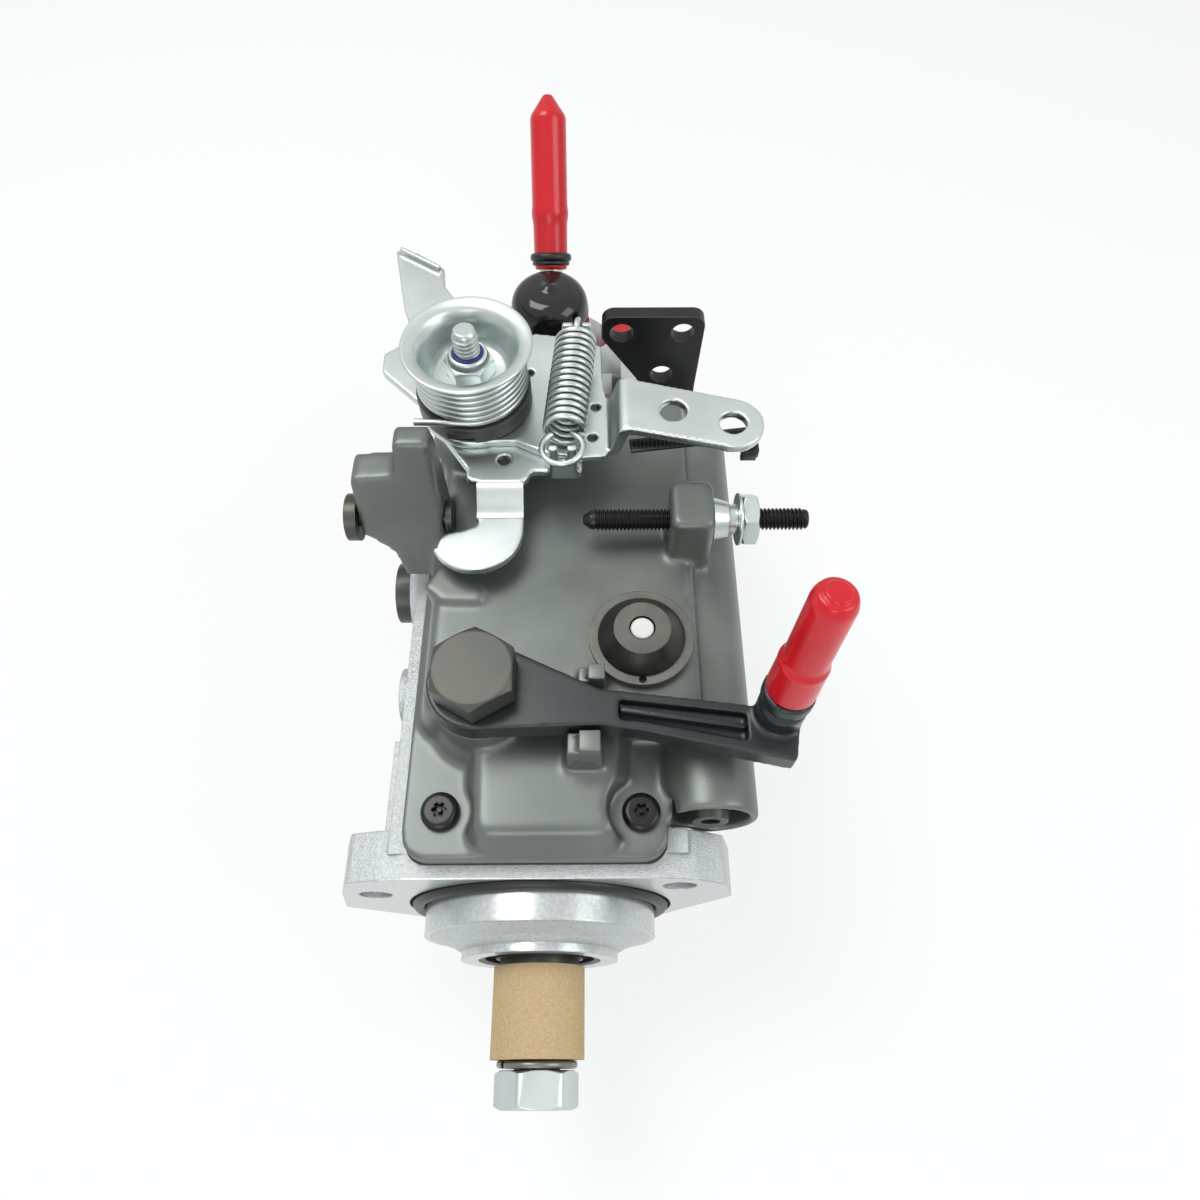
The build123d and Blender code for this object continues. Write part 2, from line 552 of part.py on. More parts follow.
def make_weight():
    """One flyweight above the shaft: hub round its pin, a heavy tail and a toe that pushes the sleeve."""
    tail = block(-WEIGHT_W / 2, WEIGHT_W / 2, WEIGHT_PIVOT_Y, WEIGHT_PIVOT_Y + WEIGHT_LEN,
                 WEIGHT_PIVOT_R - 6, WEIGHT_PIVOT_R + 2)
    tail = tail & rod_y(WEIGHT_PIVOT_R + 3, WEIGHT_PIVOT_Y, WEIGHT_PIVOT_Y + WEIGHT_LEN)
    hub = rod_x(3.4, -WEIGHT_W / 2, WEIGHT_W / 2, WEIGHT_PIVOT_Y, WEIGHT_PIVOT_R)
    toe = block(-5, 5, WEIGHT_PIVOT_Y - 1.5, SLEEVE_FRONT - SEAT, WEIGHT_PIVOT_R - 9, WEIGHT_PIVOT_R - 2)
    return tail + hub + toe - rod_x(PIN_R + RUN, -WEIGHT_W, WEIGHT_W, WEIGHT_PIVOT_Y, WEIGHT_PIVOT_R)


def make_governor():
    carrier = tube_y(CARRIER_R, GOV_SEAT_R + 0.02, CARRIER_Y, CARRIER_Y + CARRIER_T)
    for side in (1, -1):
        for x in (-WEIGHT_W / 2 - 2.8, WEIGHT_W / 2 + 0.3):
            ear = block(x, x + 2.5, CARRIER_Y, WEIGHT_PIVOT_Y + 3, side * (WEIGHT_PIVOT_R - 4),
                        side * (WEIGHT_PIVOT_R + 4))
            carrier += ear
        pin_half = WEIGHT_W / 2 + 2.8
        carrier += rod_x(PIN_R, -pin_half, pin_half, WEIGHT_PIVOT_Y, side * WEIGHT_PIVOT_R)
    weight = make_weight()
    sleeve = tube_y(SLEEVE_R, GOV_SEAT_R + RUN, SLEEVE_FRONT, SLEEVE_REAR)
    sleeve += tube_y(SLEEVE_R + 2.5, GOV_SEAT_R + RUN, SLEEVE_FRONT, SLEEVE_FRONT + 2.5)
    arm = block(-18, 18, ARM_PIVOT_Y - ARM_T / 2, ARM_PIVOT_Y + ARM_T / 2, -6, ARM_PIVOT_Z + 4)
    arm -= block(-12.4, 12.4, ARM_PIVOT_Y - 5, ARM_PIVOT_Y + 5, -10, 20)
    arm = arm & (rod_y(BORE_R - 4, 0, 100) + block(-20, 20, 0, 100, 10, 60))
    arm += block(-5, 5, ARM_PIVOT_Y - ARM_T / 2, ARM_PIVOT_Y + ARM_T / 2, ARM_PIVOT_Z, ARM_TOP_Z)
    arm += rod_x(GOV_PIN_R, -WINDOW_HALF - 3.7, WINDOW_HALF + 3.7, ARM_PIVOT_Y, ARM_PIVOT_Z)
    arm += block(-18, 18, ARM_PIVOT_Y - 3.2, ARM_PIVOT_Y + 3.2, ARM_PIVOT_Z - 3.2, ARM_PIVOT_Z + 3.2)
    arm = arm - block(-30, 30, ARM_PIVOT_Y - 3, SLEEVE_REAR + SEAT, -12, ARM_PIVOT_Z - 12)
    arm_rear = ARM_PIVOT_Y + ARM_T / 2
    spring = Pos(-6, arm_rear + SEAT, LINK_Z) * Rot(-90, 0, 0) * coil_row(4.0, 0.7, 12, 40)
    spring += rod_y(0.8, arm_rear + 39, LEVER_Y + 1.5, -6 - 3.8, LINK_Z)
    link = block(2.8, 4.4, arm_rear + SEAT, VALVE_Y - 3 - SEAT, LINK_Z - 3.6, LINK_Z - 1.9)
    parts["governor_weight_carrier"] = carrier
    parts["governor_weight_upper"] = weight
    parts["governor_weight_lower"] = Rot(0, 180, 0) * weight
    parts["thrust_sleeve"] = sleeve
    parts["governor_arm"] = arm
    parts["governor_spring"] = spring
    parts["metering_link"] = link


# ---------------------------------------------------------------- pumping section and advance

def make_pumping():
    lobes = Circle(CAM_BASE_R)
    for n in range(4):
        lobes -= Rot(0, 0, 45 + 90 * n) * Pos(CAM_BASE_R + 7, 0) * Circle(CAM_BASE_R + 7 - CAM_LOBE_R)
    cam = slab_y(Circle(CAM_OD_R) - lobes, CAM_FRONT, CAM_REAR)
    pin = rod_z(ADVANCE_PIN_R, ADVANCE_Z, -CAM_OD_R - 3, 0, ADVANCE_Y)
    pin += Pos(0, ADVANCE_Y, ADVANCE_Z) * Sphere(ADVANCE_PIN_R + 0.6)
    pin += rod_z(3.98, -CAM_OD_R - 3, -CAM_OD_R + 3.9, 0, ADVANCE_Y)
    cam -= rod_z(4.0, -CAM_OD_R - 3, -CAM_OD_R + 4, 0, ADVANCE_Y)
    mid = (CAM_FRONT + CAM_REAR) / 2
    rotor = rod_y(ROTOR_HEAD_R, CAM_FRONT - 1, HEAD_FRONT - 0.5)
    rotor += rod_y(GOV_SEAT_R + 3, SHAFT_END_Y + 0.5, CAM_FRONT)
    rotor += rod_y(ROTOR_R, HEAD_FRONT - 1, BOSS_REAR - 18)
    rotor += rod_y(PUMP_SHAFT_R, BOSS_REAR - 19, BOSS_REAR - 0.6)
    rotor -= block(-4.1, 4.1, SHAFT_END_Y - 2, SHAFT_END_Y + 7, -20, 20)
    rotor -= rod_x(PLUNGER_R + RUN, -ROTOR_HEAD_R - 1, ROTOR_HEAD_R + 1, mid, 0)
    shoes = []
    rollers = []
    plungers = []
    roller_x = CAM_LOBE_R - SEAT - ROLLER_R
    for side in (1, -1):
        slot = block(side * 12.6, side * (ROTOR_HEAD_R + 2), mid - 7, mid + 7, -5.0, 5.0)
        rotor -= slot
        shoe = block(side * 12.8, side * (roller_x + 1), mid - 6.9, mid + 6.9, -4.9, 4.9)
        shoe -= rod_y(ROLLER_R + RUN, mid - 8, mid + 8, side * roller_x, 0)
        shoes.append(shoe)
        rollers.append(rod_y(ROLLER_R, mid - ROLLER_LEN / 2, mid + ROLLER_LEN / 2, side * roller_x, 0))
        plungers.append(rod_x(PLUNGER_R, side * 2.5, side * 12.8, mid, 0))
    parts["cam_ring"] = cam
    parts["advance_pin"] = pin
    parts["rotor"] = rotor
    parts["rollers_and_shoes"] = Compound(shoes + rollers)
    parts["plungers"] = Compound(plungers)


def make_advance():
    wall = ADVANCE_BORE_R + ADVANCE_WALL
    casing = rod_x(wall, -ADVANCE_HALF, ADVANCE_HALF, ADVANCE_Y, ADVANCE_Z)
    casing += block(-ADVANCE_HALF + 4, ADVANCE_HALF - 4, ADVANCE_Y - ADVANCE_FOOT, ADVANCE_Y + ADVANCE_FOOT,
                    REST_Z, REST_Z + 5)
    casing += block(-26, 26, ADVANCE_Y - ADVANCE_PAD_HALF, ADVANCE_Y + ADVANCE_PAD_HALF,
                    REST_Z, ADVANCE_PAD_Z)
    casing -= block(-26.3, 26.3, ADVANCE_Y - 30, ADVANCE_Y + 30, ADVANCE_PAD_Z, 0)
    casing -= rod_x(ADVANCE_BORE_R, -ADVANCE_HALF - 1, ADVANCE_HALF + 1, ADVANCE_Y, ADVANCE_Z)
    casing -= block(-9, 9, ADVANCE_Y - 5, ADVANCE_Y + 5, ADVANCE_Z, 0)
    for x, y in ADVANCE_SCREWS:
        casing -= rod_z(SCREW_R + THREAD, REST_Z - 1, 0, x, y)
        casing -= rod_z(5.6, REST_Z - 1, REST_Z + 6.5, x, y)
    piston = rod_x(ADVANCE_BORE_R - RUN, -PISTON_HALF, PISTON_HALF, ADVANCE_Y, ADVANCE_Z)
    piston -= rod_z(ADVANCE_PIN_R + 0.9, ADVANCE_Z - 5, 0, 0, ADVANCE_Y)
    piston -= rod_x(6.5, 10, PISTON_HALF + 1, ADVANCE_Y, ADVANCE_Z)
    piston -= rod_x(6.5, -PISTON_HALF - 1, -10, ADVANCE_Y, ADVANCE_Z)
    plugs = []
    for side in (1, -1):
        inner = side * (PISTON_HALF + 6)
        plug = rod_x(ADVANCE_BORE_R - 0.02, inner, side * (ADVANCE_HALF + 0.5), ADVANCE_Y, ADVANCE_Z)
        cap = Rot(0, 0, 90 - 90 * side) * hex_x(22.0, ADVANCE_HALF, ADVANCE_HALF + 6, 0, 0)
        plugs.append(plug + Pos(0, ADVANCE_Y, ADVANCE_Z) * cap)
    parts["advance_housing"] = casing
    parts["advance_piston"] = piston
    parts["advance_end_plugs"] = Compound(plugs)


# ---------------------------------------------------------------- hydraulic head and rear end

def make_head():
    head = rod_y(HEAD_R, HEAD_FRONT, HOUSING_REAR + 1)
    flange = Circle(REAR_FLANGE_R) & (Pos(0, JOINT_Z - 60) * Rectangle(200, 120))
    lug = rounded([(30, -6), (57, -6), (57, 30), (30, 32)], 4)
    head += slab_y(flange + lug, HOUSING_REAR, HEAD_FLANGE_REAR)
    head += rod_y(BOSS_R, HEAD_FLANGE_REAR - 1, BOSS_REAR)
    head += block(SOLENOID_X - 14, SOLENOID_X + 14, HEAD_FLANGE_REAR - 10, BOSS_REAR, 10, SOLENOID_PAD_Z)
    head -= rod_y(ROTOR_R + RUN, HEAD_FRONT - 1, BOSS_REAR + 1)
    head -= rod_y(LINER_R + 0.02, BOSS_REAR - 18, BOSS_REAR + 1)
    head -= rod_z(VALVE_R + RUN, 20, HEAD_R + 1, VALVE_X, VALVE_Y)
    head -= rod_z(7.05, SOLENOID_PAD_Z - 8, SOLENOID_PAD_Z + 1, SOLENOID_X, SOLENOID_Y)
    head -= rod_z(SOLENOID_CAP_R + 0.2, SOLENOID_PAD_Z, SOLENOID_CAP_Z, SOLENOID_X, SOLENOID_Y)
    for x, z in OUTLET_PLACES:
        head -= rod_y(5.0, HEAD_FLANGE_REAR - 10, HEAD_FLANGE_REAR + 1, x, z)
    for x, z in HEAD_SCREWS:
        head -= rod_y(SCREW_R + THREAD, HOUSING_REAR - 1, HEAD_FLANGE_REAR + 1, x, z)
    for x, z in BRACKET_SCREWS:
        head -= rod_y(SCREW_R + THREAD, HEAD_FLANGE_REAR - 14, HEAD_FLANGE_REAR + 1, x, z)
    for x, z in PLATE_SCREWS:
        head -= rod_y(SCREW_R + THREAD, BOSS_REAR - 12, BOSS_REAR + 1, x, z)
    liner = rod_y(LINER_R, BOSS_REAR - 17.9, BOSS_REAR)
    liner -= rod_y(LINER_BORE_R, BOSS_REAR - 19, BOSS_REAR + 1, 0, LINER_OFFSET)
    wheel_r = LINER_BORE_R - LINER_OFFSET - 0.6
    wheel = tube_y(wheel_r, PUMP_SHAFT_R + 0.02, BOSS_REAR - 17.5, BOSS_REAR - 0.4)
    wheel -= block(-1.55, 1.55, BOSS_REAR - 19, BOSS_REAR + 1, PUMP_SHAFT_R + 2.4, 30)
    wheel -= block(-1.55, 1.55, BOSS_REAR - 19, BOSS_REAR + 1, -30, -PUMP_SHAFT_R - 2.4)
    blades = []
    for side in (1, -1):
        blades.append(block(-1.5, 1.5, BOSS_REAR - 17.4, BOSS_REAR - 0.5, side * (PUMP_SHAFT_R + 2.5),
                            side * (wheel_r + 0.3)))
    parts["hydraulic_head"] = head
    parts["transfer_pump_liner"] = liner
    parts["transfer_pump_rotor"] = wheel
    parts["transfer_pump_blades"] = Compound(blades)
    valve = rod_z(VALVE_R, 20.5, LINK_Z - 2, VALVE_X, VALVE_Y)
    valve += block(VALVE_X - 14, VALVE_X + 3, VALVE_Y - 3, VALVE_Y + 3, LINK_Z - 4, LINK_Z - 1.5)
    parts["metering_valve"] = valve


def socket_screw(length):
    """Socket head screw whose head stands on the XY plane, with its shank pointing down."""
    head = Cylinder(5.0, 6.0, align=STANDING)
    head -= Pos(0, 0, 3) * extrude(RegularPolygon(2.9, 6), 4)
    return head + Pos(0, 0, -length / 2 + 0.25) * Cylinder(SCREW_R, length + 0.5)


def make_rear():
    plate = rod_y(BOSS_R, BOSS_REAR, END_PLATE_REAR)
    plate += block(-11, 11, BOSS_REAR + 1, END_PLATE_REAR, 10, 33)
    plate = fillet(plate.faces().sort_by(Axis.Y)[-1].edges(), 2.0)
    plate -= rod_z(6.05, 22, 34, INLET_X, INLET_Y)
    for x, z in PLATE_SCREWS:
        plate -= rod_y(SCREW_R + THREAD, BOSS_REAR - 1, END_PLATE_REAR + 1, x, z)
        plate -= rod_y(5.4, BOSS_REAR + 9, END_PLATE_REAR + 1, x, z)
    screws = []
    for x, z in HEAD_SCREWS:
        screws.append(Pos(x, HEAD_FLANGE_REAR, z) * Rot(-90, 0, 0) * socket_screw(HEAD_FLANGE_T + 12))
    for x, z in PLATE_SCREWS:
        screws.append(Pos(x, BOSS_REAR + 9, z) * Rot(-90, 0, 0) * socket_screw(20))
    for x, z in BRACKET_SCREWS:
        screws.append(Pos(x, HEAD_FLANGE_REAR + BRACKET_T, z) * Rot(-90, 0, 0) * socket_screw(BRACKET_T + 10))
    for x, y in ADVANCE_SCREWS:
        screws.append(Pos(x, y, REST_Z + 6.5) * Rot(180, 0, 0) * socket_screw(24))
    fittings = []
    caps = []
    for x, z in OUTLET_PLACES:
        y0 = HEAD_FLANGE_REAR
        fitting = Pos(x, y0, z) * Rot(-90, 0, 0) * hex_z(OUTLET_HEX_AF, 0, OUTLET_HEX_LEN, 0, 0, 30)
        fitting += rod_y(4.9, y0 - 9.5, y0 + 1, x, z)
        fitting += rod_y(5.9, y0 + OUTLET_HEX_LEN - 1, y0 + OUTLET_LEN, x, z)
        fitting -= rod_y(1.5, y0 + OUTLET_LEN - 8, y0 + OUTLET_LEN + 1, x, z)
        fittings.append(fitting)
        cap_y = y0 + OUTLET_HEX_LEN + 0.2
        cap = rod_y(OUTLET_CAP_R, cap_y, cap_y + OUTLET_CAP_LEN, x, z)
        cap = fillet(cap.faces().sort_by(Axis.Y)[-1].edges(), 3.0)
        caps.append(cap - rod_y(6.0, cap_y - 1, y0 + OUTLET_LEN + 0.1, x, z))
    bracket_outline = rounded([(20.6, 70.3), (57.9, 70.3), (56.6, 36), (56.6, -4), (41.0, -4), (41.5, 24),
                               (33, 41), (20.6, 60)], 4.5)
    bracket = slab_y(bracket_outline, HEAD_FLANGE_REAR, HEAD_FLANGE_REAR + BRACKET_T)
    for x, z in BRACKET_HOLES:
        bracket -= rod_y(BRACKET_HOLE_R, HEAD_FLANGE_REAR - 1, HEAD_FLANGE_REAR + BRACKET_T + 1, x, z)
    for x, z in BRACKET_SCREWS:
        bracket -= rod_y(SCREW_R + THREAD, HEAD_FLANGE_REAR - 1, HEAD_FLANGE_REAR + BRACKET_T + 1, x, z)
    parts["end_plate"] = plate
    parts["socket_screws"] = Compound(screws)
    parts["outlet_fittings"] = Compound(fittings)
    parts["outlet_caps"] = Compound(caps)
    parts["cable_bracket"] = bracket


def make_solenoid():
    body = rod_z(7.0, SOLENOID_PAD_Z - 7.5, SOLENOID_PAD_Z + 1, SOLENOID_X, SOLENOID_Y)
    body += hex_z(24, SOLENOID_PAD_Z, SOLENOID_PAD_Z + 7, SOLENOID_X, SOLENOID_Y)
    body += rod_z(SOLENOID_CAP_R - 2.0, SOLENOID_PAD_Z + 7, SOLENOID_CAP_Z, SOLENOID_X, SOLENOID_Y)
    body += rod_z(3.0, SOLENOID_CAP_Z, SOLENOID_CAP_Z + 4, SOLENOID_X, SOLENOID_Y)
    cap = rod_z(SOLENOID_CAP_R, SOLENOID_CAP_Z - 19, SOLENOID_CAP_Z + 8.4, SOLENOID_X, SOLENOID_Y)
    cap = fillet(cap.faces().sort_by(Axis.Z)[-1].edges(), 8.2)
    cap -= rod_z(SOLENOID_CAP_R - 1.9, SOLENOID_CAP_Z - 20, SOLENOID_CAP_Z + 0.2, SOLENOID_X, SOLENOID_Y)
    cap -= rod_z(3.2, SOLENOID_CAP_Z, SOLENOID_CAP_Z + 4.2, SOLENOID_X, SOLENOID_Y)
    parts["solenoid_body"] = body
    parts["solenoid_cap"] = cap


def make_inlet():
    """Union on top of the end plate, its pipe bent back, and the long cap over the pipe."""
    seat_z = 33.0
    lean_y = sin(radians(INLET_LEAN))
    lean_z = cos(radians(INLET_LEAN))
    half_y = sin(radians(INLET_LEAN / 2))
    half_z = cos(radians(INLET_LEAN / 2))
    union = rod_z(6.0, 22.5, seat_z + 1, INLET_X, INLET_Y) + hex_z(15, seat_z, seat_z + 8, INLET_X, INLET_Y)
    end_y = INLET_Y + INLET_BEND_R * (1 - lean_z)
    end_z = INLET_BEND_Z + INLET_BEND_R * lean_y
    half_bend_y = INLET_Y + INLET_BEND_R * (1 - half_z)
    half_bend_z = INLET_BEND_Z + INLET_BEND_R * half_y
    path = Line((INLET_X, INLET_Y, seat_z + 4), (INLET_X, INLET_Y, INLET_BEND_Z))
    path += ThreePointArc((INLET_X, INLET_Y, INLET_BEND_Z), (INLET_X, half_bend_y, half_bend_z),
                          (INLET_X, end_y, end_z))
    path += Line((INLET_X, end_y, end_z),
                 (INLET_X, end_y + INLET_PIPE_LEN * lean_y, end_z + INLET_PIPE_LEN * lean_z))
    union += sweep(Pos(INLET_X, INLET_Y, seat_z + 4) * Circle(INLET_TUBE_R), path=path)
    cap_frame = Pos(INLET_X, end_y, end_z) * Rot(-INLET_LEAN, 0, 0)
    cap = Cylinder(INLET_CAP_R, INLET_CAP_LEN - 6, align=STANDING)
    cap += Pos(0, 0, INLET_CAP_LEN - 6) * Cone(INLET_CAP_R, 1.6, 7, align=STANDING)
    cap -= Pos(0, 0, -1) * Cylinder(INLET_TUBE_R + 0.05, INLET_PIPE_LEN + 1.3,
                                    align=STANDING)
    ring = Torus(INLET_CAP_R + 1.4, 1.35)
    parts["inlet_union"] = union
    parts["inlet_cap"] = cap_frame * cap
    parts["inlet_ring"] = cap_frame * Pos(0, 0, 3.0) * ring


# ---------------------------------------------------------------- return connection and conical cap

def make_return():
    bolt = rod_z(BANJO_SHANK_R, PLINTH_TOP + 2, BANJO_HEAD_Z + 0.5, BANJO_X, BANJO_Y)
    bolt += hex_z(BANJO_HEX_AF, BANJO_HEAD_Z, BANJO_HEAD_Z + BANJO_HEX_H, BANJO_X, BANJO_Y, 30)
    washers = []
    for z in (BANJO_BOSS_Z, EYE_TOP):
        washers.append(rod_z(9.0, z, z + WASHER_THIN, BANJO_X, BANJO_Y)
                       - rod_z(BANJO_SHANK_R + 0.2, z - 1, z + 2, BANJO_X, BANJO_Y))
    end_x, end_y = PIPE_END
    arm = rounded([(-9.0, 57.0), (19.0, 43.4), (58, 38.6), (72.4, 35.0), (70.2, 22.8), (30, 31.4), (19, 33.0),
                   (-14.5, 31.9)], 1.0)
    pipe = slab_z(arm + Pos(BANJO_X, BANJO_Y) * Circle(EYE_R), EYE_BOTTOM, EYE_TOP)
    trough = rounded([(24, 34.6), (24, 40.2), (58, 36.0), (58, 28.4), (30, 34.0)], 0.8)
    pipe -= slab_z(trough, EYE_BOTTOM + 5.0, EYE_TOP + 1)
    pipe -= slab_z(trough, EYE_BOTTOM - 1, EYE_BOTTOM + 3.0)
    pipe += rod_z(6.6, EYE_BOTTOM, RETURN_BEND_Z, end_x, end_y)
    upright = Pos(end_x, end_y, RETURN_BEND_Z) * Rot(RETURN_LEAN[0], RETURN_LEAN[1], 0)
    pipe += upright * Pos(0, 0, -2) * Cone(6.6, 5.0, 5, align=STANDING)
    pipe += upright * rod_z(7.0, 2.0, RETURN_CAP_START - SEAT, 0, 0)
    pipe += upright * rod_z(4.0, 2.0, RETURN_CAP_START + RETURN_CAP_LEN - 12, 0, 0)
    pipe -= rod_z(BANJO_SHANK_R + 0.3, EYE_BOTTOM - 1, EYE_TOP + 1, BANJO_X, BANJO_Y)
    cap = rod_z(RETURN_CAP_R, RETURN_CAP_START, RETURN_CAP_START + RETURN_CAP_LEN, 0, 0)
    cap = fillet(cap.faces().sort_by(Axis.Z)[-1].edges(), RETURN_CAP_R - 0.6)
    cap += rod_z(RETURN_CAP_R + 0.7, RETURN_CAP_START, RETURN_CAP_START + 13, 0, 0)
    cap -= rod_z(4.05, RETURN_CAP_START - 1, RETURN_CAP_START + RETURN_CAP_LEN - 11.8, 0, 0)
    parts["banjo_bolt"] = bolt
    parts["banjo_washers"] = Compound(washers)
    parts["return_pipe"] = pipe
    parts["return_pipe_cap"] = upright * cap


def make_cone_cap():
    top_z = COVER_TOP + CONE_BASE_T + CONE_H
    cap = rod_z(CONE_R, COVER_TOP, COVER_TOP + CONE_BASE_T, CONE_X, CONE_Y)
    cap += Pos(CONE_X, CONE_Y, COVER_TOP + CONE_BASE_T - 0.2) * Cone(
        CONE_R - 2.2, CONE_TOP_R, CONE_H + 0.2, align=STANDING)
    cap -= rod_z(CONE_HOLE_R, COVER_TOP + 2, top_z + 1, CONE_X, CONE_Y)
    cap -= rod_z(1.1, COVER_TOP - 1, COVER_TOP + 4, CONE_X, CONE_Y - CONE_R + 1.7)
    parts["conical_cap"] = cap


# ---------------------------------------------------------------- stops and plugs

def make_stops():
    stud = rod_x(STUD_R, STUD_LEFT + 3, STUD_RIGHT, STOP_Y, STOP_Z)
    stud += Pos(STUD_LEFT, STOP_Y, STOP_Z) * Rot(0, 90, 0) * Cone(
        1.4, STUD_R, 3.0, align=STANDING)
    sleeve = Pos(LUG_RIGHT, STOP_Y, STOP_Z) * Rot(0, 90, 0) * Cone(
        6.6, 5.2, 4.6, align=STANDING)
    sleeve += rod_x(4.6, LUG_RIGHT + 4, LUG_RIGHT + 7.2, STOP_Y, STOP_Z)
    sleeve -= rod_x(STUD_R + 0.08, LUG_RIGHT - 1, LUG_RIGHT + 9, STOP_Y, STOP_Z)
    nut = rod_x(8.0, LUG_RIGHT + 7.2, LUG_RIGHT + 8.6, STOP_Y, STOP_Z)
    nut += hex_x(14.0, LUG_RIGHT + 8.2, LUG_RIGHT + 13.2, STOP_Y, STOP_Z)
    nut -= rod_x(STUD_R + 0.08, LUG_RIGHT, LUG_RIGHT + 15, STOP_Y, STOP_Z)
    idle = rod_x(IDLE_SHANK_R, -55.6, IDLE_TIP_X - 1.5, IDLE_Y, IDLE_Z)
    idle += rod_x(IDLE_DISC_R, -27.0, IDLE_TIP_X, IDLE_Y, IDLE_Z)
    idle += rod_x(7.2, -56.9, -53.4, IDLE_Y, IDLE_Z) - rod_x(5.4, -57.5, -55.2, IDLE_Y, IDLE_Z)
    plug_y, plug_z, _, reach = LEFT_BOSSES[0]
    x = SIDE_LEFT - reach
    side_plug = rod_x(10.5, x - 6.0, x, plug_y, plug_z) - rod_x(3.0, x - 7, x - 3.5, plug_y, plug_z)
    y0 = PORT_FRONT + PORT_DEPTH
    port = rod_y(PORT_BORE_R - 0.1, y0 - 2.5, y0, PORT_X, PORT_Z)
    port += Pos(PORT_X, y0 - 2.4, PORT_Z) * Rot(90, 0, 0) * Cone(
        PORT_BORE_R - 1.6, 5.0, PORT_DEPTH - 2.2, align=STANDING)
    port -= rod_y(2.8, PORT_FRONT - 1, PORT_FRONT + 3, PORT_X, PORT_Z)
    parts["max_stop_stud"] = stud
    parts["stop_stud_sleeve"] = sleeve
    parts["stop_stud_nut"] = nut
    parts["idle_stop_screw"] = idle
    parts["blanking_plugs"] = Compound([side_plug, port])


# ---------------------------------------------------------------- lever stack

def bent_strip(over, under):
    """Side view of a joggled strip: each side turns widely at its first bend and tightly at its second."""
    corners = over + under
    side = make_face(Polyline(*corners, close=True))
    for wide, (y, z) in ((True, over[1]), (False, over[2]), (True, under[1]), (False, under[2])):
        corner = side.vertices().sort_by_distance((y, z, 0))[0]
        side = fillet(corner, BEND_R if wide else 0.8)
    return side


def finger_outline():
    """Hook of the stop lever: a round palm with its mouth open to the idle screw."""
    palm = Pos(-17.4, 94.0) * Circle(14.0)
    palm += Pos(-10.4, 97.5) * Rectangle(14.0, 9.0)
    mouth = rounded([(-45, 84), (-29.5, 87.6), (-17.3, 94.6), (-17.3, 101), (-19, 112), (-45, 112)], 2.2)
    return palm - mouth - Pos(-17.4, 110) * Rectangle(60, 20.4)


